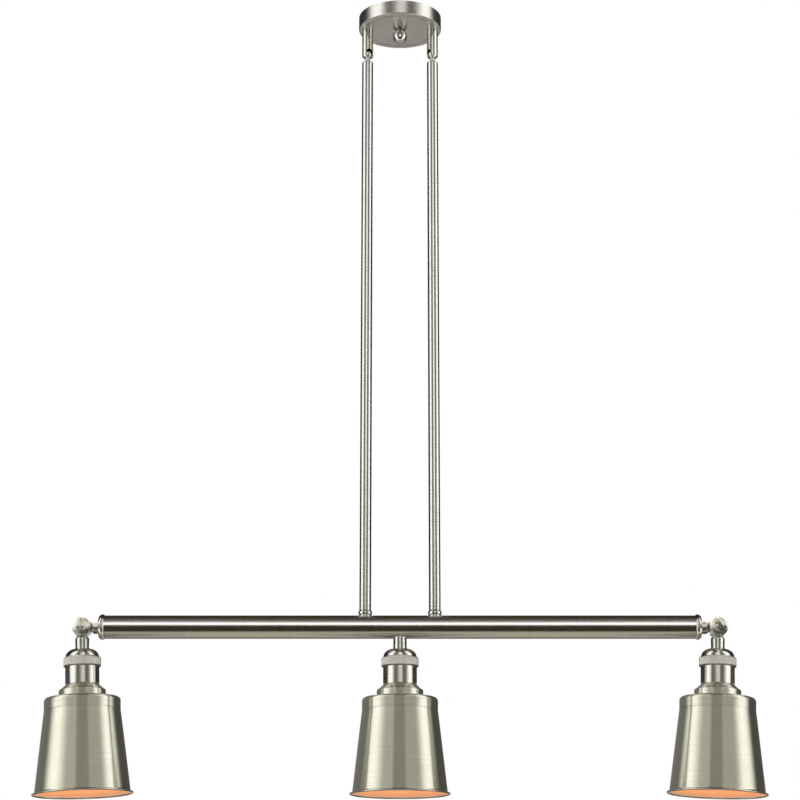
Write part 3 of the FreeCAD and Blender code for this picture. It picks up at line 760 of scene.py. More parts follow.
def rod(path: Sequence[Vector], radius: float, sides: int = 10) -> bpy.types.Mesh:
    """Wire along a path.

    Args:
        path: its points, in metres.
        radius: of the wire, in metres.
        sides: faces round it.

    Returns:
        A closed mesh.
    """
    shell = bmesh.new()
    rings = []
    for n, point in enumerate(path):
        way = (path[min(n + 1, len(path) - 1)] - path[max(n - 1, 0)]).normalized()
        across = way.orthogonal().normalized() if not rings else (across - way * across.dot(way)).normalized()
        beside = way.cross(across)
        rings.append([
            shell.verts.new(point + (across * math.cos(turn) + beside * math.sin(turn)) * radius)
            for turn in (math.tau * side / sides for side in range(sides))
        ])
    for low, high in zip(rings, rings[1:]):
        for side in range(sides):
            after = (side + 1) % sides
            shell.faces.new((low[side], low[after], high[after], high[side]))
    shell.faces.new(rings[0][::-1])
    shell.faces.new(rings[-1])
    mesh = bpy.data.meshes.new("wire")
    shell.to_mesh(mesh)
    shell.free()
    return finished(mesh)


# ------------------------------------------------------------------------------------------ sub-assemblies
class Side(IntEnum):
    """Where along the bar a lamp or a knuckle sits."""

    LEFT = -1
    CENTRE = 0
    RIGHT = 1

    @property
    def word(self) -> str:
        """How it stands in the nodes' names."""
        return self.name.lower()


@dataclass(frozen=True)
class Span:
    """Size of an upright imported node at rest, in millimetres, in the frame it is read in."""

    left: float
    right: float
    radius: float
    foot: float
    top: float

    @classmethod
    def of(cls, node: str, zero: float = 0.0) -> "Span":
        """Reads a node's size.

        Args:
            node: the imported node.
            zero: height that its levels are measured from, in millimetres.

        Returns:
            Its size.
        """
        low, high = (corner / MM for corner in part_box(node))
        return cls(low.x, high.x, (high.y - low.y) / 2, low.z - zero, high.z - zero)


@dataclass
class Assembly:
    """What every sub-assembly shares: making a piece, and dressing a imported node."""

    place: Matrix = field(default_factory=Matrix)

    def fit(
        self,
        node: str,
        mesh: bpy.types.Mesh,
        body: str,
        slot: str,
        *finishes: Finish,
        at: Matrix | None = None,
        stands_for: bool = True,
    ) -> bpy.types.Object:
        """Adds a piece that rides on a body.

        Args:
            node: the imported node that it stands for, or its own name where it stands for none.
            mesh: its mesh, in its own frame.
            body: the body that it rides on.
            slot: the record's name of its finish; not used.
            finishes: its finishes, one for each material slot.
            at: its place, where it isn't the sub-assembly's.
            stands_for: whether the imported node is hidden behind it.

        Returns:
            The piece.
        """
        name = node + "_finished" if stands_for else node
        mesh.name = name
        piece = bpy.data.objects.new(name, mesh)
        bpy.context.scene.collection.objects.link(piece)
        for finish in finishes:
            mesh.materials.append(made(finish))
        piece.matrix_world = self.place if at is None else at
        # Lets a long wall beside a small rounding mirror as the straight wall that it is.
        piece.modifiers.new("flat_faces_first", "WEIGHTED_NORMAL").keep_sharp = True
        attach(piece, body)
        if stands_for:
            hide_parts(node)
        log.info("%s: %d faces on %s", name, len(mesh.polygons), body)
        return piece

    @staticmethod
    def dress(finish: Finish, *nodes: str) -> None:
        """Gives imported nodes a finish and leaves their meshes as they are.

        Args:
            finish: the finish.
            nodes: names of the nodes.
        """
        for node in nodes:
            for holder in frame["nodes"][node].material_slots:
                holder.material = made(finish)
            log.info("%s: packed mesh in %s", node, finish.name)


@dataclass
class Canopy(Assembly):
    """Ceiling canopy with its finial, swivels and what it hides."""

    edge: float = 2.0
    wall: float = 1.2
    rim_break: float = 0.3
    groove_radius: float = 48.0
    groove_half: float = 0.5
    groove_depth: float = 0.7
    step_radius: float = 24.7
    step_depth: float = 0.4
    step_break: float = 0.25
    stud_hole: float = 3.05
    finial_radius: float = 10.0

    def build(self) -> None:
        """Builds and dresses the canopy's pieces."""
        self.fit("canopy_cup", spin(self.cup(), segments=192), "canopy", "satin_nickel", CANOPY_NICKEL)
        self.fit("ball_finial", spin(self.finial()), "canopy_knob", "satin_nickel", STEM_NICKEL)
        self.dress(FIGURED_NICKEL, "left_swivel_barrel", "right_swivel_barrel", "ball_studs")
        self.dress(ZINC, "mounting_crossbar", "canopy_stud", "canopy_fasteners", "swivel_nipples")

    def cup(self) -> Outline:
        """Half-section of the cup, from the finial's seat outwards and back inside.

        Returns:
            The outline.
        """
        size = Span.of("canopy_cup")
        radius, face = size.radius, size.foot
        seat = face + self.step_depth
        outer, inner = self.groove_radius + self.groove_half, self.groove_radius - self.groove_half
        floor = face + self.wall
        inside = radius - self.wall
        inner_edge = self.edge - self.wall
        return (
            Outline(self.stud_hole, seat)
            .to(self.step_radius, seat)
            .quarter(self.step_radius + self.step_break, face, Leave.UPRIGHT, steps=3)
            .to(inner, face)
            .to(inner, face + self.groove_depth)
            .to(outer, face + self.groove_depth)
            .to(outer, face)
            .to(radius - self.edge, face)
            .quarter(radius, face + self.edge, Leave.LEVEL, steps=8)
            .to(radius, -self.rim_break)
            .quarter(radius - self.rim_break, 0, Leave.UPRIGHT, steps=3)
            .to(inside, 0)
            .to(inside, floor + inner_edge)
            .quarter(inside - inner_edge, floor, Leave.UPRIGHT, steps=4)
            .to(self.stud_hole, floor)
        )

    def finial(self) -> Outline:
        """Half-section of the ball, from its flat seat to its lowest point.

        Returns:
            The outline.
        """
        size = Span.of("ball_finial")
        ball = self.finial_radius
        centre = size.foot + ball
        seat = math.sqrt(ball**2 - (size.top - centre) ** 2)
        return Outline(0, size.top).to(seat, size.top).arc(0, size.foot, ball, steps=40)


@dataclass
class Stems(Assembly):
    """The two stems, each in three lengths with rings between them."""

    shoulder: float = 2.0
    break_edge: float = 0.25
    bore: float = 4.95
    ring_bead: float = 0.3
    bead_height: float = 6.5
    bead_swell: float = 2.0
    segments: int = 64             # faces round a stem or a ring

    def build(self) -> None:
        """Builds and dresses the stems' pieces."""
        for node, shoulder in (
            ("upper_stems", self.shoulder),
            ("middle_stems", self.break_edge),
            ("lower_stems", self.break_edge),
            ("stem_ferrules", self.ring_bead),
        ):
            size = Span.of(node)
            self.fit_pair(node, spin(self.tube(size, shoulder), self.segments), size)
        self.couplings()
        self.collars()
        self.dress(ZINC, "bar_nipples")

    def fit_pair(self, node: str, mesh: bpy.types.Mesh, size: Span) -> None:
        """Fits one mesh at both stems, as one piece.

        Args:
            node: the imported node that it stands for.
            mesh: the mesh of one of the two.
            size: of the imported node.
        """
        pair = [(mesh, Matrix.Translation((x * MM, 0, 0))) for x in self.places(size)]
        self.fit(node, joined(pair), "hanging_frame", "satin_nickel", STEM_NICKEL)

    @staticmethod
    def places(size: Span) -> tuple[float, float]:
        """Where the two stems' axes stand, in millimetres along the bar."""
        return size.left + size.radius, size.right - size.radius

    def tube(self, size: Span, shoulder: float) -> Outline:
        """Half-section of a length of stem with a rounded shoulder at its top.

        Args:
            size: of the length.
            shoulder: radius of its rounding.

        Returns:
            The outline.
        """
        return (
            Outline(self.bore, size.top)
            .to(size.radius - shoulder, size.top)
            .quarter(size.radius, size.top - shoulder, Leave.LEVEL, steps=5)
            .to(size.radius, size.foot + self.break_edge)
            .quarter(size.radius - self.break_edge, size.foot, Leave.UPRIGHT, steps=3)
            .to(self.bore, size.foot)
        )

    def couplings(self) -> None:
        """Fits the four rings between the stems, each between two fine lines."""
        size = Span.of("stem_couplings")
        upper, middle, lower = (Span.of(node) for node in ("upper_stems", "middle_stems", "lower_stems"))
        rings = []
        for above, below in ((upper, middle), (middle, lower)):
            ring = Span(0, 0, size.radius, below.top, above.foot)
            mesh = spin(self.tube(ring, self.ring_bead), self.segments)
            rings += [(mesh, Matrix.Translation((x * MM, 0, 0))) for x in self.places(size)]
        self.fit("stem_couplings", joined(rings), "hanging_frame", "satin_nickel", STEM_NICKEL)

    def collars(self) -> None:
        """Fits the two beads at the stems' feet, whose undersides lie on the bar."""
        size, bar = Span.of("bar_collars"), Span.of("bar_tube")
        waist = size.radius - self.bead_swell
        curve = (self.bead_height**2 / 4 + self.bead_swell**2) / (2 * self.bead_swell)
        saddle = bar.top - bar.radius
        seat = bar.top - self.bead_height / 2
        outline = (
            Outline(self.bore, size.top)
            .to(waist, size.top)
            .arc(waist, size.top - self.bead_height, curve, steps=14)
            .to(waist, seat - self.bead_height)
            .to(self.bore, seat - self.bead_height)
        )
        mesh = spin(outline, segments=72)
        for vertex in mesh.vertices:  # the foot's vertices are lifted on to the bar's round top
            across = min(abs(vertex.co.y) / MM, bar.radius)
            vertex.co.z = max(vertex.co.z, (saddle + math.sqrt(bar.radius**2 - across**2)) * MM)
        self.fit_pair("bar_collars", mesh, size)


@dataclass
class Bar(Assembly):
    """The round bar with its beaded end caps."""

    wall: float = 1.5
    break_edge: float = 0.3
    crown_height: float = 1.7
    crown_radius: float = 9.5
    cap_hole: float = 4.95
    spigot_radius: float = 13.4
    spigot_length: float = 9.0

    def build(self) -> None:
        """Builds and dresses the bar's pieces."""
        low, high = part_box("bar_tube")
        axis = (low.z + high.z) / 2
        radius, half = (high.z - low.z) / 2 / MM, high.x / MM
        along = Matrix.Translation((0, 0, axis)) @ Matrix.Rotation(RIGHT_ANGLE, 4, "Y")
        tube = spin(self.tube(radius, half), segments=160)
        self.fit("bar_tube", tube, "hanging_frame", "satin_nickel", BAR_NICKEL, at=along)
        for side in (Side.LEFT, Side.RIGHT):
            node = side.word + "_end_cap"
            outwards = Matrix.Translation((0, 0, axis)) @ Matrix.Rotation(RIGHT_ANGLE * side, 4, "Y")
            cap_low, cap_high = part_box(node)
            face = max(abs(cap_low.x), abs(cap_high.x)) / MM
            bead = (cap_high.z - cap_low.z) / 2 / MM
            mesh = spin(self.cap(radius, half, face, bead), segments=128)
            self.fit(node, mesh, "hanging_frame", "satin_nickel", SATIN_NICKEL, at=outwards)
        self.dress(ZINC, "saddle_nuts")

    def tube(self, radius: float, half: float) -> Outline:
        """Half-section of the tube, about its own axis.

        Args:
            radius: of the tube.
            half: half its length.

        Returns:
            The outline.
        """
        edge, bore = self.break_edge, radius - self.wall
        return (
            Outline(bore, -half)
            .to(radius - edge, -half)
            .quarter(radius, -half + edge, Leave.LEVEL, steps=3)
            .to(radius, half - edge)
            .quarter(radius - edge, half, Leave.UPRIGHT, steps=3)
            .to(bore, half)
        )

    def cap(self, radius: float, half: float, face: float, bead: float) -> Outline:
        """Half-section of an end cap: a bead, then a low crown round the knuckle's stub.

        Args:
            radius: of the bar.
            half: half the bar's length.
            face: how far the cap's outer face lies from the bar's middle.
            bead: radius of the bead.

        Returns:
            The outline.
        """
        bead_end = face - self.crown_height
        swell = bead - radius
        curve = ((bead_end - half) ** 2 / 4 + swell**2) / (2 * swell)
        return (
            Outline(self.cap_hole, half - self.spigot_length)
            .to(self.spigot_radius, half - self.spigot_length)
            .to(self.spigot_radius, half)
            .to(radius, half)
            .arc(radius, bead_end, -curve, steps=12)
            .quarter(self.crown_radius, face, Leave.UPRIGHT, steps=8)
            .to(self.cap_hole, face)
        )


@dataclass
class Knuckle(Assembly):
    """A clamped knuckle at one end of the bar: stub, domed caps and thumb screw."""

    side: Side = Side.RIGHT
    dome_height: float = 4.6
    flat_radius: float = 4.4
    hole: float = 3.2
    paddle_angle: float = 0.0      # degrees
    paddle_thickness: float = 3.8
    paddle_depth: float = 22.0     # along the screw
    paddle_length: float = 18.5    # across it
    paddle_corner: float = 5.0
    paddle_edge: float = 0.6
    hub_radius: float = 4.0
    hub_height: float = 3.0
    hub_rim: float = 0.65          # share of the hub's height below its rounding
    hub_rounding: float = 0.45     # share of the hub's radius that its rounding takes
    shaft_radius: float = 2.9

    def build(self) -> None:
        """Builds and dresses the knuckle's pieces."""
        name = self.side.word
        low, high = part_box(name + "_front_cap")
        pivot = Vector(((low.x + high.x) / 2, 0, (low.z + high.z) / 2))
        radius = (high.x - low.x) / 2 / MM
        facing = Matrix.Translation(pivot) @ Matrix.Rotation(RIGHT_ANGLE, 4, "X")
        front = spin(self.dome(radius, -high.y / MM, -low.y / MM))
        self.fit(name + "_front_cap", front, name + "_lamp", "satin_nickel", SATIN_NICKEL, at=facing)
        self.dress(FIGURED_NICKEL, name + "_knuckle_stub")
        screw = name + "_thumb_screw"
        screw_low, screw_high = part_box(screw)
        tip = -screw_low.y / MM
        turned = facing @ Matrix.Rotation(math.radians(-self.paddle_angle), 4, "Z")
        mesh = joined([(self.shaft(tip, -screw_high.y / MM), Matrix()), (self.blade(tip), Matrix())])
        self.fit(screw, mesh, screw, "satin_nickel", FIGURED_NICKEL, at=turned)

    def dome(self, radius: float, low: float, top: float) -> Outline:
        """Half-section of a domed cap, from its flat face to its crown.

        Args:
            radius: of the cap.
            low: height of its flat face.
            top: height of its crown.

        Returns:
            The outline.
        """
        return (
            Outline(self.hole, low)
            .to(radius, low)
            .to(radius, top - self.dome_height)
            .quarter(self.flat_radius, top, Leave.UPRIGHT, steps=14)
            .to(self.hole, top)
        )

    def shaft(self, tip: float, foot: float) -> bpy.types.Mesh:
        """Shaft and hub of the thumb screw.

        Args:
            tip: height of the paddle's far edge.
            foot: height of the shaft's end.

        Returns:
            The mesh.
        """
        hub_top = tip - self.paddle_depth
        hub_foot = hub_top - self.hub_height
        crown = self.hub_radius * (1 - self.hub_rounding)
        outline = (
            Outline(0, foot)
            .to(self.shaft_radius, foot)
            .to(self.shaft_radius, hub_foot)
            .to(self.hub_radius, hub_foot)
            .to(self.hub_radius, hub_foot + self.hub_height * self.hub_rim)
            .quarter(crown, hub_top, Leave.UPRIGHT)
            .to(0, hub_top)
        )
        return spin(outline, segments=48)

    def blade(self, tip: float) -> bpy.types.Mesh:
        """Flat paddle of the thumb screw with rounded corners and soft edges.

        Args:
            tip: height of its far edge.

        Returns:
            The mesh.
        """
        thick, deep, long = (
            length * MM for length in (self.paddle_thickness, self.paddle_depth, self.paddle_length)
        )
        middle = tip * MM - deep / 2
        shell = bmesh.new()
        bmesh.ops.create_cube(shell, size=1.0)
        bmesh.ops.scale(shell, vec=(thick, long, deep), verts=shell.verts)
        bmesh.ops.translate(shell, vec=(0, 0, middle), verts=shell.verts)
        far = [
            edge for edge in shell.edges
            if all(vert.co.z > middle for vert in edge.verts)
            and abs(edge.verts[0].co.x - edge.verts[1].co.x) > thick / 2
        ]
        self.round_off(shell, far, self.paddle_corner, segments=8)
        sharp = [edge for edge in shell.edges if edge.calc_face_angle() > SMOOTH_ANGLE]
        self.round_off(shell, sharp, self.paddle_edge, segments=4)
        mesh = bpy.data.meshes.new("blade")
        shell.to_mesh(mesh)
        shell.free()
        return finished(mesh)

    @staticmethod
    def round_off(
        shell: bmesh.types.BMesh, edges: Sequence[bmesh.types.BMEdge], reach: float, segments: int
    ) -> None:
        """Rounds some edges of a mesh.

        Args:
            shell: the mesh.
            edges: the edges.
            reach: how far back the rounding goes, in millimetres.
            segments: faces across it.
        """
        bmesh.ops.bevel(
            shell, geom=list(edges), offset=reach * MM, segments=segments, profile=0.5, affect="EDGES"
        )


@dataclass
class RearCaps(Assembly):
    """The two rear caps, which share one node."""

    def build(self) -> None:
        """Builds the pair."""
        low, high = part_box("knuckle_rear_caps")
        radius = (high.z - low.z) / 2
        height = (low.z + high.z) / 2
        dome = spin(Knuckle().dome(radius / MM, low.y / MM, high.y / MM))
        pair = []
        for x in (low.x + radius, high.x - radius):
            backwards = Matrix.Translation((x, 0, height)) @ Matrix.Rotation(-RIGHT_ANGLE, 4, "X")
            pair.append((dome, backwards))
        self.fit("knuckle_rear_caps", joined(pair), "hanging_frame", "satin_nickel", FIGURED_NICKEL)


@dataclass
class Lamp(Assembly):
    """One lamp: collar, domed cap, knurled ring, socket shell, shade holder, shade and bulb."""

    side: Side = Side.CENTRE
    axis_height: float = 0.0       # of the bar's axis
    pivot: float = 0.0             # from the middle of the bar to the outer lamps' knuckles
    tilt: float = 2.4              # degrees
    break_edge: float = 0.25
    neck_hole: float = 4.95
    cap_top_radius: float = 8.75
    skirt_radius: float = 20.65
    cap_wall: float = 1.2
    cap_rim: float = 0.2           # upright edge below the dome
    cap_gap: float = 0.1           # between that edge and the ring
    ring_chamfer: float = 1.6
    ring_edge: float = 0.2
    ring_shoulder: float = 0.75    # share of the chamfer left beside the rounding of its edge
    ring_bore: float = 21.8
    knurl_teeth: int = 132
    knurl_depth: float = 0.42
    shell_wall: float = 1.0
    shell_edge: float = 0.9
    nose_radius: float = 16.35
    holder_neck: float = 21.7
    holder_neck_height: float = 0.3
    holder_cone_height: float = 6.2
    holder_edge: float = 1.4
    holder_foot_edge: float = 0.4
    joint_depth: float = 1.0       # of the shadow line between socket shell and holder
    joint_drop: float = 0.3        # from that line out to the cone
    holder_lines: tuple[float, float] = (1.2, 3.2)   # how far below the cone's top they lie
    holder_wall: float = 1.2
    holder_nut_radius: float = 20.5
    holder_nut_height: float = 4.0
    holder_nut_edge: float = 0.5
    line_width: float = 0.6
    line_rise: float = 0.3         # share of its width above the deepest point of the shade's line
    line_depth: float = 0.55       # the same line's depth as a share of its width
    shade_top_radius: float = 48.7
    shade_edge: float = 4.5
    shade_wall: float = 1.0
    shade_band: float = 15.8
    shade_cone_radius: float = 60.4
    shade_lip: float = 4.6
    shade_bead: float = 1.15
    shade_curl: tuple[float, float] = (2.1, 1.6)     # where the bead meets the inside, in bead radii
    bulb_radius: float = 30.0
    bulb_neck: float = 12.8
    bulb_flare: float = 60.0
    bulb_wall: float = 0.8

    def __post_init__(self) -> None:
        """Places the lamp's frame on the bar's axis, tilted inwards at the ends."""
        across = Matrix.Translation((self.pivot * self.side * MM, 0, self.axis_height * MM))
        self.place = across @ Matrix.Rotation(math.radians(self.tilt * self.side), 4, "Y")

    @property
    def body(self) -> str:
        """The body that the lamp rides on."""
        return "hanging_frame" if self.side is Side.CENTRE else self.side.word + "_lamp"

    def span(self, piece: str) -> Span:
        """Size of a piece in the lamp's frame, read from the upright middle lamp."""
        return Span.of("centre_" + piece, self.axis_height)

    def build(self) -> None:
        """Builds and dresses the lamp's pieces."""
        name, body = self.side.word, self.body
        self.dress(FIGURED_NICKEL, name + "_neck")
        self.fit(name + "_neck_collar", spin(self.collar(), segments=64), body, "satin_nickel", SATIN_NICKEL)
        self.fit(name + "_socket_cap", spin(self.cap(), segments=128), body, "satin_nickel", SATIN_NICKEL)
        ring, ring_mesh = name + "_knurled_ring", spin(self.ring(), self.knurl_teeth * 6, self.knurl_teeth)
        self.fit(ring, ring_mesh, ring, "knurled_nickel", KNURLED_NICKEL)
        self.fit(name + "_socket_shell", spin(self.shell(), segments=128), body, "satin_nickel", SATIN_NICKEL)
        collar, nut = spin(self.holder(), segments=128), spin(self.holder_nut())
        holder = joined([(collar, Matrix()), (nut, Matrix())])
        self.fit(name + "_shade_holder", holder, body, "satin_nickel", SHADE_NICKEL)
        shade = spin(self.shade(), segments=256)
        self.fit(name + "_shade", shade, body, "shade_metal", SHADE_NICKEL, LIT_INSIDE)
        self.fit(name + "_bulb_glass", spin(self.glass()), body, "bulb_glass", BULB_GLASS)
        self.dress(PORCELAIN, name + "_socket_insert")
        self.dress(BRASS, name + "_socket_contacts")
        self.dress(BULB_CAP, name + "_bulb_base")
        Filament(place=self.place, lamp=self).build()

    def collar(self) -> Outline:
        """Half-section of the neck's collar, with broken edges that show as fine lines.

        Returns:
            The outline.
        """
        size, edge = self.span("neck_collar"), self.break_edge
        return (
            Outline(self.neck_hole, size.top)
            .to(size.radius - edge, size.top)
            .quarter(size.radius, size.top - edge, Leave.LEVEL, steps=3)
            .to(size.radius, size.foot + edge)
            .quarter(size.radius - edge, size.foot, Leave.UPRIGHT, steps=3)
            .to(self.neck_hole, size.foot)
        )

    def cap(self) -> Outline:
        """Half-section of the domed cap and its skirt inside the ring.

        Returns:
            The outline.
        """
        size = self.span("socket_cap")
        ring_top = self.span("knurled_ring").top
        rim_foot = ring_top + self.cap_gap
        top, skirt, wall = self.cap_top_radius, self.skirt_radius, self.cap_wall
        return (
            Outline(self.neck_hole, size.top)
            .to(top, size.top)
            .quarter(size.radius, rim_foot + self.cap_rim, Leave.LEVEL, steps=20)
            .to(size.radius, rim_foot)
            .to(skirt, rim_foot)
            .to(skirt, size.foot)
            .to(skirt - wall, size.foot)
            .to(skirt - wall, ring_top)
            .quarter(top, size.top - wall, Leave.UPRIGHT, steps=16)
            .to(self.neck_hole, size.top - wall)
        )

    def ring(self) -> Outline:
        """Half-section of the knurled ring.

        Returns:
            The outline.
        """
        size, chamfer = self.span("knurled_ring"), self.ring_chamfer
        top, foot, radius, edge = size.top, size.foot, size.radius, self.ring_edge
        shoulder = radius - chamfer * self.ring_shoulder
        wall_top, wall_foot = top - chamfer, foot + chamfer
        outline = Outline(self.ring_bore, top).to(radius - chamfer - edge, top)
        outline.quarter(shoulder, top - edge, Leave.LEVEL, steps=3)
        outline.to(radius - edge, wall_top + edge / 2)
        outline.knurl(self.knurl_depth).to(radius, wall_top - edge)
        for share in (0.25, 0.5, 0.75):  # of the way down the knurled wall
            outline.to(radius, wall_top - (wall_top - wall_foot) * share)
        outline.to(radius, wall_foot + edge).knurl(0).to(radius - edge, wall_foot - edge / 2)
        outline.to(shoulder, foot + edge)
        outline.quarter(radius - chamfer - edge, foot, Leave.UPRIGHT, steps=3)
        return outline.to(self.ring_bore, foot)

    def shell(self) -> Outline:
        """Half-section of the socket shell with its inward lip.

        Returns:
            The outline.
        """
        size, wall = self.span("socket_shell"), self.shell_wall
        return (
            Outline(size.radius - wall, size.top)
            .to(size.radius, size.top)
            .to(size.radius, size.foot + self.shell_edge)
            .quarter(size.radius - self.shell_edge, size.foot, Leave.UPRIGHT, steps=5)
            .to(self.nose_radius, size.foot)
            .to(self.nose_radius, size.foot + wall)
            .to(size.radius - wall, size.foot + wall)
        )

    def holder(self) -> Outline:
        """Half-section of the conical shade holder, with the two lines turned near its top.

        Returns:
            The outline.
        """
        foot, top = self.span("shade").top, self.span("socket_shell").foot
        large = self.span("shade_holder").radius
        neck, wall, edge = self.holder_neck, self.holder_wall, self.holder_edge
        cone_top = top - self.holder_neck_height
        cone_foot = cone_top - self.holder_cone_height
        cone = large - edge
        cone_start = cone_top - self.joint_drop
        lean = (cone - neck) / (cone_start - cone_foot)
        line, low_edge = self.line_width, self.holder_foot_edge
        joint = neck - self.joint_depth
        outline = Outline(self.nose_radius, top).to(joint, top).to(joint, cone_top).to(neck, cone_start)
        for drop in self.holder_lines:
            near = neck + lean * (drop - self.joint_drop)
            outline.to(near, cone_top - drop)
            outline.arc(near + lean * line, cone_top - drop - line, -line, steps=4)
        outline.to(cone, cone_foot)
        outline.quarter(large, cone_foot - edge, Leave.LEVEL)
        return (
            outline.to(large, foot + low_edge)
            .quarter(large - low_edge, foot, Leave.UPRIGHT, steps=3)
            .to(large - wall, foot)
            .to(large - wall, cone_foot - edge)
            .to(cone - wall, cone_foot - wall)
            .to(neck - wall, cone_top - wall)
            .to(self.nose_radius, top - wall)
        )

    def holder_nut(self) -> Outline:
        """Half-section of the ring nut under the shade's top.

        Returns:
            The outline.
        """
        top = self.span("shade").top - self.shade_wall
        foot = top - self.holder_nut_height
        outside, edge = self.holder_nut_radius, self.holder_nut_edge
        return (
            Outline(self.nose_radius, top)
            .to(outside, top)
            .to(outside, foot + edge)
            .quarter(outside - edge, foot, Leave.UPRIGHT, steps=3)
            .to(self.nose_radius, foot)
        )

    def shade(self) -> Outline:
        """Half-section of the spun shade: flat top, round edge, scored line, cone and beaded rim. Its inside
        is a zone of its own.

        Returns:
            The outline.
        """
        size = self.span("shade")
        top, foot, rim = size.top, size.foot, size.radius
        round_r, edge, wall = self.shade_top_radius, self.shade_edge, self.shade_wall
        band = top - self.shade_band
        cone, cone_foot = self.shade_cone_radius, foot + self.shade_lip
        bead, line = self.shade_bead, self.line_width
        curl_in, curl_up = self.shade_curl
        outline = Outline(self.nose_radius, top).to(round_r - edge, top)
        outline.quarter(round_r, top - edge, Leave.LEVEL, steps=12)
        outline.to(round_r, band + line * self.line_rise).to(round_r - line * self.line_depth, band)
        outline.to(round_r, band - line)
        for share in (0.2, 0.4, 0.6, 0.8, 0.97):  # of the way down the cone
            outline.to(round_r + (cone - round_r) * share, band + (cone_foot - band) * share)
        outline.to(cone, cone_foot)
        outline.quarter(rim - bead, foot + 2 * bead, Leave.UPRIGHT, steps=8)
        for radius, height in ((rim, foot + bead), (rim - bead, foot), (rim - 2 * bead, foot + bead)):
            outline.arc(radius, height, bead, steps=5)
        outline.to(rim - curl_in * bead, foot + curl_up * bead).dress(1)
        outline.quarter(cone - wall, cone_foot + wall / 2, Leave.LEVEL)
        outline.to(round_r - wall, band)
        outline.to(round_r - wall, top - edge)
        outline.quarter(round_r - edge, top - wall, Leave.UPRIGHT, steps=8)
        return outline.to(self.nose_radius, top - wall)

    def glass(self) -> Outline:
        """Half-section of the bulb's hollow glass, outside and inside.

        Returns:
            The outline.
        """
        size = self.span("bulb_glass")
        centre = size.foot + self.bulb_radius

        def pear(outline: Outline, shrink: float, neck_top: float, down: bool) -> Outline:
            """Draws one face of the glass.

            Args:
                outline: what it is added to.
                shrink: how far the face lies inside the glass's outside.
                neck_top: height of the neck's open end.
                down: whether it runs down from the neck, and not up to it.

            Returns:
                The outline.
            """
            ball, neck, flare = self.bulb_radius - shrink, self.bulb_neck - shrink, self.bulb_flare + shrink
            lean = math.acos((neck + flare) / (ball + flare))
            meet = (ball * math.cos(lean), centre + ball * math.sin(lean))
            flare_top = centre + (ball + flare) * math.sin(lean)
            if down:
                return (
                    outline.to(neck, neck_top).to(neck, flare_top)
                    .arc(*meet, -flare, steps=12).arc(0, centre - ball, ball, steps=30)
                )
            outline.arc(*meet, -ball, steps=30).arc(neck, flare_top, flare, steps=12)
            return outline.to(neck, neck_top)

        outline = pear(Outline(self.bulb_neck - 2 * self.bulb_wall, size.top), 0.0, size.top, True)
        outline.to(0, centre - self.bulb_radius + self.bulb_wall)
        return pear(outline, self.bulb_wall, size.top - self.bulb_wall, False)


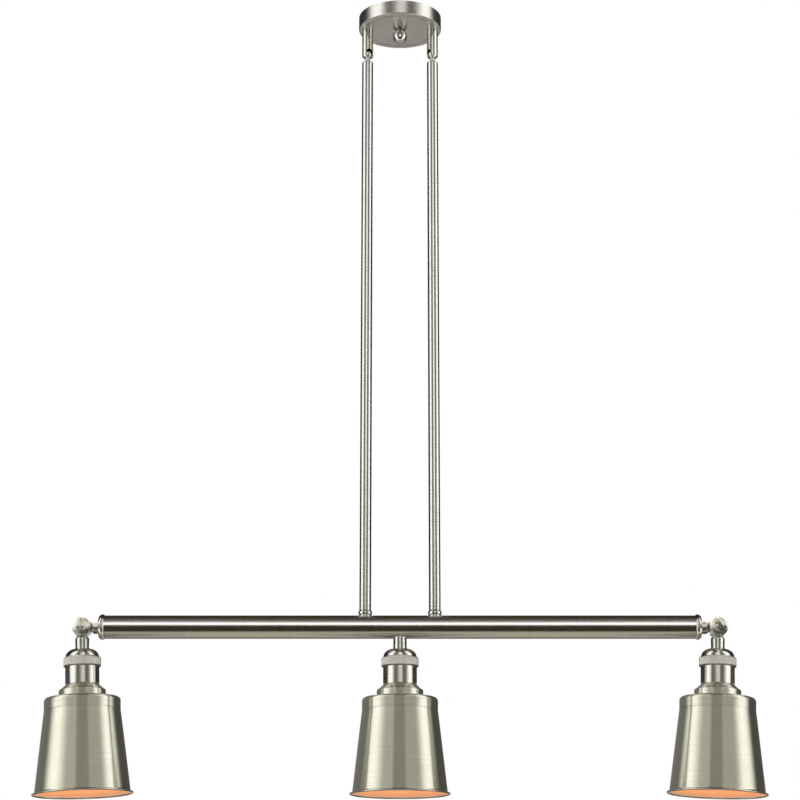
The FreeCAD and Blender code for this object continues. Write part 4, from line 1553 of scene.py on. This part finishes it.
@dataclass
class Filament(Assembly):
    """Glass stem, supports and a coiled filament inside a bulb."""

    lamp: Lamp | None = None
    stem_radius: float = 4.2
    stem_top: float = 2.0          # depths are measured from the top of the bulb's glass
    stem_flare: float = 1.8        # radius at its top, in stem radii
    stem_waist: float = 12.0
    stem_pinch: float = 0.7        # radius at its foot, in stem radii
    stem_foot: float = 26.0
    stem_tip: float = 3.0          # height of its rounded end
    wire_radius: float = 0.28
    lead_root: tuple[float, float] = (1.6, 14.0)     # half the leads' distance inside the stem, and depth
    lead_exit: float = 1.7         # the same where they leave it
    lead_bend: tuple[float, float] = (0.45, 4.0)     # share of the spread, and drop below the stem's foot
    lead_spread: float = 11.0
    lead_foot: float = 36.0
    lead_end: float = 2.0          # straight length at the filament
    coil_radius: float = 0.9
    coil_wire: float = 0.17
    coil_turns: int = 34
    coil_sag: float = 4.5
    steps_per_turn: int = 8

    def build(self) -> None:
        """Builds the three pieces on the lamp's body."""
        neck = self.lamp.span("bulb_glass").top
        bulb, body = self.lamp.side.word + "_bulb", self.lamp.body
        stem = spin(self.stem(neck), segments=32)
        self.fit(bulb + "_stem", stem, body, "bulb_glass", BULB_GLASS, stands_for=False)
        leads = joined([(self.lead(neck, side), Matrix()) for side in (Side.LEFT, Side.RIGHT)])
        self.fit(bulb + "_leads", leads, body, "bulb_cap", SUPPORT_WIRE, stands_for=False)
        self.fit(bulb + "_filament", self.coil(neck), body, "bulb_glass", HOT_WIRE, stands_for=False)

    def stem(self, neck: float) -> Outline:
        """Half-section of the glass stem that holds the leads.

        Args:
            neck: height of the top of the bulb's glass.

        Returns:
            The outline.
        """
        radius, top, foot = self.stem_radius, neck - self.stem_top, neck - self.stem_foot
        return (
            Outline(0, top)
            .to(radius * self.stem_flare, top)
            .quarter(radius, neck - self.stem_waist, Leave.UPRIGHT)
            .to(radius * self.stem_pinch, foot)
            .quarter(0, foot - self.stem_tip, Leave.UPRIGHT)
        )

    def lead(self, neck: float, side: Side) -> bpy.types.Mesh:
        """One lead wire, from the stem out to the filament's end.

        Args:
            neck: height of the top of the bulb's glass.
            side: which of the two it is.

        Returns:
            The mesh.
        """
        spread, foot = self.lead_spread, neck - self.lead_foot
        knee = neck - self.stem_foot
        root, root_depth = self.lead_root
        bend, bend_drop = self.lead_bend
        points = (
            (root, neck - root_depth),
            (self.lead_exit, knee),
            (spread * bend, knee - bend_drop),
            (spread, foot + self.lead_end),
            (spread, foot),
        )
        path = [Vector((side * x * MM, 0, z * MM)) for x, z in points]
        return rod(path, self.wire_radius * MM, sides=8)

    def coil(self, neck: float) -> bpy.types.Mesh:
        """The coiled wire between the leads, bowed down in the middle.

        Args:
            neck: height of the top of the bulb's glass.

        Returns:
            The mesh.
        """
        foot = neck - self.lead_foot
        path = []
        count = self.coil_turns * self.steps_per_turn
        for n in range(count + 1):
            share = n / count
            turn = math.tau * n / self.steps_per_turn
            x = self.lead_spread * (2 * share - 1)
            z = foot - self.coil_sag * math.sin(math.pi * share) + self.coil_radius * math.sin(turn)
            path.append(Vector((x, self.coil_radius * math.cos(turn), z)) * MM)
        return rod(path, self.coil_wire * MM, sides=6)


# ------------------------------------------------------------------------------------------ light and camera
@dataclass(frozen=True)
class Card:
    """A soft-edged patch of a light tent, in degrees as seen from its centre. Azimuth 0 is to the front and
    rises to the right. The soft edges are centred on the limits."""

    azimuth: tuple[float, float]
    elevation: tuple[float, float]
    radiance: float
    tint: tuple[float, float, float] = (1.0, 1.0, 1.0)
    azimuth_edges: tuple[float, float] = (4.0, 4.0)
    elevation_edges: tuple[float, float] = (4.0, 4.0)
    over: bool = False             # whether it runs on overhead, its azimuth counted from the middle plane


@dataclass(frozen=True)
class Tent:
    """A sphere of light cards that only the reflections of chosen pieces see. It lets every ray through."""

    name: str
    words: tuple[str, ...]         # any of them stands in the name of each piece that it lights
    cards: tuple[Card, ...]        # each lies over those before it
    side: Side = Side.CENTRE       # which lamp it is hung round
    surround: float = 0.035        # radiance beside the cards

    def build(self, centre: Vector, turn: float, radius: float, pieces: Iterable[bpy.types.Object]) -> None:
        """Hangs the tent.

        Args:
            centre: its centre, in metres.
            turn: how far it is turned about Z, in radians.
            radius: of the sphere, in millimetres.
            pieces: what it shines on.
        """
        tent = sphere(self.name, radius, self.material())
        tent.location = centre
        tent.rotation_euler.z = turn
        receivers = bpy.data.collections.new(self.name + "_receivers")
        for piece in pieces:
            receivers.objects.link(piece)
        tent.light_linking.receiver_collection = receivers

    def material(self) -> bpy.types.Material:
        """Makes the glow of the cards.

        Returns:
            The material.
        """
        material, shader = blank(self.name)
        material.cycles.emission_sampling = "NONE"
        _, x, y, z = shader.axes()
        azimuth = x.maths("ARCTAN2", x, y * -1.0) * math.degrees(1)
        level = (x * x + y * y) ** 0.5
        elevation = z.maths("ARCTAN2", z, level) * math.degrees(1)
        light: bpy.types.NodeSocket | Colour = colour(self.surround, self.surround, self.surround)
        bearing = x.maths("ARCTAN2", x, (y * y + z * z) ** 0.5) * math.degrees(1)
        for card in self.cards:
            mask = self.window(bearing if card.over else azimuth, card.azimuth, card.azimuth_edges)
            mask = mask * self.window(elevation, card.elevation, card.elevation_edges)
            light = shader.blend(mask, light, colour(*(card.radiance * part for part in card.tint)))
        glow = shader.node("ShaderNodeEmission", inputs={"Color": light, "Strength": 1.0})
        clear = shader.node("ShaderNodeBsdfTransparent")
        glow = shader.node("ShaderNodeAddShader", inputs={0: glow.outputs[0], 1: clear.outputs[0]})
        shader.node("ShaderNodeOutputMaterial", inputs={"Surface": glow.outputs[0]})
        return material

    @staticmethod
    def window(value: Signal, limits: tuple[float, float], edges: tuple[float, float]) -> Signal:
        """1 between two limits and 0 outside them, with soft edges.

        Args:
            value: what is compared.
            limits: the lower and the upper limit.
            edges: width of the soft edge at each.

        Returns:
            The mask.
        """
        (low, high), (soft_low, soft_high) = limits, edges
        rise = value.ramp(low - soft_low / 2, low + soft_low / 2)
        return rise * (1 - value.ramp(high - soft_high / 2, high + soft_high / 2))


def sphere(name: str, radius: float, material: bpy.types.Material) -> bpy.types.Object:
    """Adds a sphere that only reflections see.

    Args:
        name: its name.
        radius: of the sphere, in millimetres.
        material: its glow.

    Returns:
        The sphere, at the origin.
    """
    outline = Outline(0, radius).arc(radius, 0, radius, steps=24).arc(0, -radius, radius, steps=24)
    mesh = spin(outline)
    mesh.materials.append(material)
    shell = bpy.data.objects.new(name, mesh)
    for ray in ("camera", "diffuse", "transmission", "volume_scatter", "shadow"):
        setattr(shell, "visible_" + ray, False)
    bpy.context.scene.collection.objects.link(shell)
    return shell


@dataclass
class Studio:
    """Pale floor, white background, soft lamps, and the tents that only the metal's reflections see."""

    centre: Vector = field(default_factory=lambda: Vector((0, 0, -0.6)))
    tent_radius: float = 2400.0    # millimetres
    tent_step: float = 10.0        # by which each tent is wider than the one inside it
    room_radius: float = 3300.0
    lamp_place: float = 0.41       # metres from the middle of the bar to the outer lamps
    floor_height: float = -4.6
    floor_size: float = 40.0
    floor_colour: Colour = colour(0.86, 0.86, 0.855)
    floor_roughness: float = 0.85
    surround: float = 0.9          # level of the white background for diffuse light

    def build(self) -> None:
        """Sets up the world, the floor and the soft lamps."""
        self.world()
        self.floor()
        for name, place, size, power in (
            ("left_softbox", Vector((-2.6, -2.2, 0.6)), 1.8, 34.0),
            ("right_softbox", Vector((2.6, -2.0, 0.4)), 1.8, 30.0),
            ("front_softbox", Vector((0.0, -2.8, 1.9)), 2.2, 26.0),
            ("floor_fill", Vector((0.0, -0.6, -3.2)), 2.4, 16.0),
        ):
            self.lamp(name, place, size, power)

    def world(self) -> None:
        """White for what the camera, gloss and glass see, and a plain level for diffuse light."""
        world = bpy.data.worlds.new("surround")
        world.use_nodes = True
        bpy.context.scene.world = world
        shader = Shader(world.node_tree)
        path = shader.node("ShaderNodeLightPath").outputs
        seen = Signal(shader, path["Is Camera Ray"])
        for kind in ("Is Glossy Ray", "Is Transmission Ray"):
            seen = seen.maths("MAXIMUM", seen, Signal(shader, path[kind]))
        background = shader.node(
            "ShaderNodeBackground",
            inputs={"Color": colour(1.0, 1.0, 1.0), "Strength": seen * (1 - self.surround) + self.surround},
        )
        shader.node("ShaderNodeOutputWorld", inputs={"Surface": background.outputs[0]})

    def floor(self) -> None:
        """Lays the floor far below the pendant."""
        mesh = bpy.data.meshes.new("floor")
        half = self.floor_size / 2
        corners = [(-half, -half, 0), (half, -half, 0), (half, half, 0), (-half, half, 0)]
        mesh.from_pydata(corners, [], [(0, 1, 2, 3)])
        material, shader = blank("pale_floor")
        shader.surface(Base_Color=self.floor_colour, Roughness=self.floor_roughness)
        mesh.materials.append(material)
        floor = bpy.data.objects.new("floor", mesh)
        floor.location = (0, 0, self.floor_height)
        bpy.context.scene.collection.objects.link(floor)

    def tents(self, view_distance: float) -> None:
        """Hangs the tents in a dark room, turned to the viewer. A piece is lit by the first that fits it.

        Args:
            view_distance: how far in front of the bar the viewer stands, in metres.
        """
        lit: dict[str, list[bpy.types.Object]] = {tent.name: [] for tent in TENTS}
        for piece in bpy.context.scene.objects:
            if piece.type == "MESH" and piece.name != "floor":
                own = next(tent for tent in TENTS if any(word in piece.name for word in tent.words))
                lit[own.name].append(piece)
        for n, tent in enumerate(TENTS):
            across = tent.side * self.lamp_place
            place = self.centre + Vector((across, 0, 0))
            turn = math.atan2(-across, view_distance)
            tent.build(place, turn, self.tent_radius + self.tent_step * n, lit[tent.name])
        dark, shader = blank("dark_room")
        black = shader.node("ShaderNodeEmission", inputs={"Strength": 0.0})
        shader.node("ShaderNodeOutputMaterial", inputs={"Surface": black.outputs[0]})
        sphere("dark_room", self.room_radius, dark).location = self.centre

    def lamp(self, name: str, place: Vector, size: float, power: float) -> None:
        """Hangs a soft lamp that faces the pendant and shows in no reflection.

        Args:
            name: of the lamp.
            place: where it hangs, in metres.
            size: side of its square face, in metres.
            power: in watts.
        """
        light = bpy.data.lights.new(name, "AREA")
        light.shape = "SQUARE"
        light.size = size
        light.energy = power
        holder = bpy.data.objects.new(name, light)
        holder.location = place
        holder.rotation_mode = "QUATERNION"
        holder.rotation_quaternion = (self.centre - place).to_track_quat("-Z", "Y")
        holder.visible_glossy = False
        holder.visible_camera = False
        holder.visible_transmission = False
        bpy.context.scene.collection.objects.link(holder)


# Tints of the cards' light.
WARM = (1.0, 0.985, 0.955)
CLEAR = (1.0, 0.99, 1.0)
OLIVE = (1.0, 0.957, 0.80)
BROWN = (1.0, 0.87, 0.52)
SHADE_CARDS = (
    Card((-181, -96), (-90, 90), 0.22, WARM, (1, 10)),
    Card((96, 181), (-90, 90), 0.10, WARM, (10, 1)),
    Card((-98, 98), (-90, 90), 0.62, WARM, (20, 20)),
    Card((15, 70), (-90, 90), 0.53, WARM, (10, 10)),
    Card((-97, -56), (-90, 90), 1.70, CLEAR, (32, 34)),
    Card((59, 98), (-90, 90), 1.68, CLEAR, (26, 30)),
    Card((-181, 181), (-90, -18), 0.12, WARM, (1, 1), (1, 12)),
    Card((-181, 181), (40, 90), 1.15, WARM, (1, 1), (16, 1)),
    Card((-17.5, 14.5), (-90, 90), 0.34, WARM, (2, 2), over=True),
    Card((-181, 181), (57, 90), 0.10, WARM, (1, 1), (8, 1)),
)
BAR_CARDS = (
    Card((-181, 181), (-90, 90), 0.05, BROWN, (1, 1)),
    Card((-181, 181), (-90, -55), 0.66, OLIVE, (1, 1), (1, 5)),
    Card((-181, -80), (-60, -26), 0.33, OLIVE, (1, 20), (12, 10)),
    Card((80, 181), (-60, -26), 0.33, OLIVE, (20, 1), (12, 10)),
    Card((-110, 110), (0, 52), 0.34, WARM, (30, 30), (12, 44)),
    Card((-110, 110), (7, 31), 1.95, CLEAR, (30, 30), (9, 17)),
)
KNUCKLE_CARDS = (
    Card((-181, 181), (-90, 90), 0.12, WARM, (1, 1)),
    Card((-150, -35), (-90, -5), 0.52, WARM, (20, 40), (1, 20)),
    Card((-181, 181), (-6, 90), 1.12, WARM, (1, 1), (30, 1)),
    Card((-181, -45), (-12, 90), 1.80, CLEAR, (1, 40), (34, 1)),
    Card((70, 150), (-10, 90), 1.62, CLEAR, (30, 10), (30, 1)),
    Card((-10, 66), (24, 80), 0.60, WARM, (20, 20), (14, 14)),
)
KNURL_CARDS = (
    Card((-108, 104), (-20, 75), 0.92, WARM, (26, 20), (12, 20)),
    Card((25, 104), (-20, 75), 0.70, WARM, (30, 20), (12, 20)),
)
FITTING_CARDS = (
    Card((-181, 181), (-90, -57), 0.50, OLIVE, (1, 1), (1, 10)),
    Card((-181, -112), (-57, -5), 0.46, WARM, (1, 16), (4, 3)),
    Card((112, 181), (-57, -5), 0.46, WARM, (16, 1), (4, 3)),
    Card((-92, 96), (-20, 60), 0.19, WARM, (24, 12), (10, 20)),
    Card((-90, -48), (-75, 60), 1.66, CLEAR, (26, 24), (10, 20)),
    Card((54, 95), (-75, 60), 1.72, CLEAR, (34, 12), (10, 20)),
    Card((-11, 16), (-20, 60), 0.84, WARM, (30, 10), (10, 20)),
    Card((-9, 16), (8, 36), 1.50, WARM, (24, 10), (12, 18)),
)
TENTS = (
    Tent("left_lamp_tent", ("left_neck", "left_socket"), FITTING_CARDS, Side.LEFT),
    Tent("right_lamp_tent", ("right_neck", "right_socket"), FITTING_CARDS, Side.RIGHT),
    Tent("left_shade_tent", ("left_shade",), SHADE_CARDS, Side.LEFT),
    Tent("centre_shade_tent", ("centre_shade",), SHADE_CARDS),
    Tent("right_shade_tent", ("right_shade",), SHADE_CARDS, Side.RIGHT),
    Tent("bar_tent", ("bar_tube",), BAR_CARDS),
    Tent("knuckle_tent", ("front_cap", "rear_caps", "thumb_screw", "knuckle_stub"), KNUCKLE_CARDS),
    Tent("knurl_tent", ("knurled_ring",), KNURL_CARDS),
    Tent("fitting_tent", ("",), FITTING_CARDS),  # every piece that is left
)


@dataclass(frozen=True)
class Viewpoint:
    """The photograph's camera: in front of the middle lamp and a little below it, looking up."""

    place: tuple[float, float, float] = (0.0, -2.709, -1.305)   # metres
    pitch: float = 15.5            # degrees above the horizon
    focal_pixels: float = 2115.0
    frame_pixels: float = 800.0
    sensor: float = 36.0           # millimetres

    def build(self) -> None:
        """Makes the camera and gives it to the scene."""
        data = bpy.data.cameras.new("viewpoint")
        data.sensor_width = self.sensor
        data.lens = self.focal_pixels / self.frame_pixels * self.sensor
        camera = bpy.data.objects.new("viewpoint", data)
        camera.location = self.place
        camera.rotation_euler = (math.radians(90 + self.pitch), 0, 0)
        bpy.context.scene.collection.objects.link(camera)
        bpy.context.scene.camera = camera


# How far each thumb screw's paddle is turned from upright, in degrees.
PADDLE_ANGLES = {Side.LEFT: 3.0, Side.RIGHT: -37.0}


def main() -> None:
    """Builds the camera, the studio and the pendant, and reports its pieces."""
    logging.basicConfig(level=logging.INFO, format="%(name)s: %(message)s")
    bpy.context.scene.view_settings.view_transform = "Standard"
    viewpoint = Viewpoint()
    viewpoint.build()
    studio = Studio()
    studio.build()
    Canopy().build()
    Stems().build()
    Bar().build()
    RearCaps().build()
    bar_low, bar_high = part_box("bar_tube")
    axis_height = (bar_low.z + bar_high.z) / 2 / MM
    for side, paddle_angle in PADDLE_ANGLES.items():
        Knuckle(side=side, paddle_angle=paddle_angle).build()
    cap_low, cap_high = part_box("right_front_cap")
    pivot = (cap_low.x + cap_high.x) / 2 / MM
    for side in Side:
        Lamp(side=side, axis_height=axis_height, pivot=pivot).build()
    studio.tents(view_distance=-viewpoint.place[1])
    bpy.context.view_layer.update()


if __name__ == "__main__":
    main()
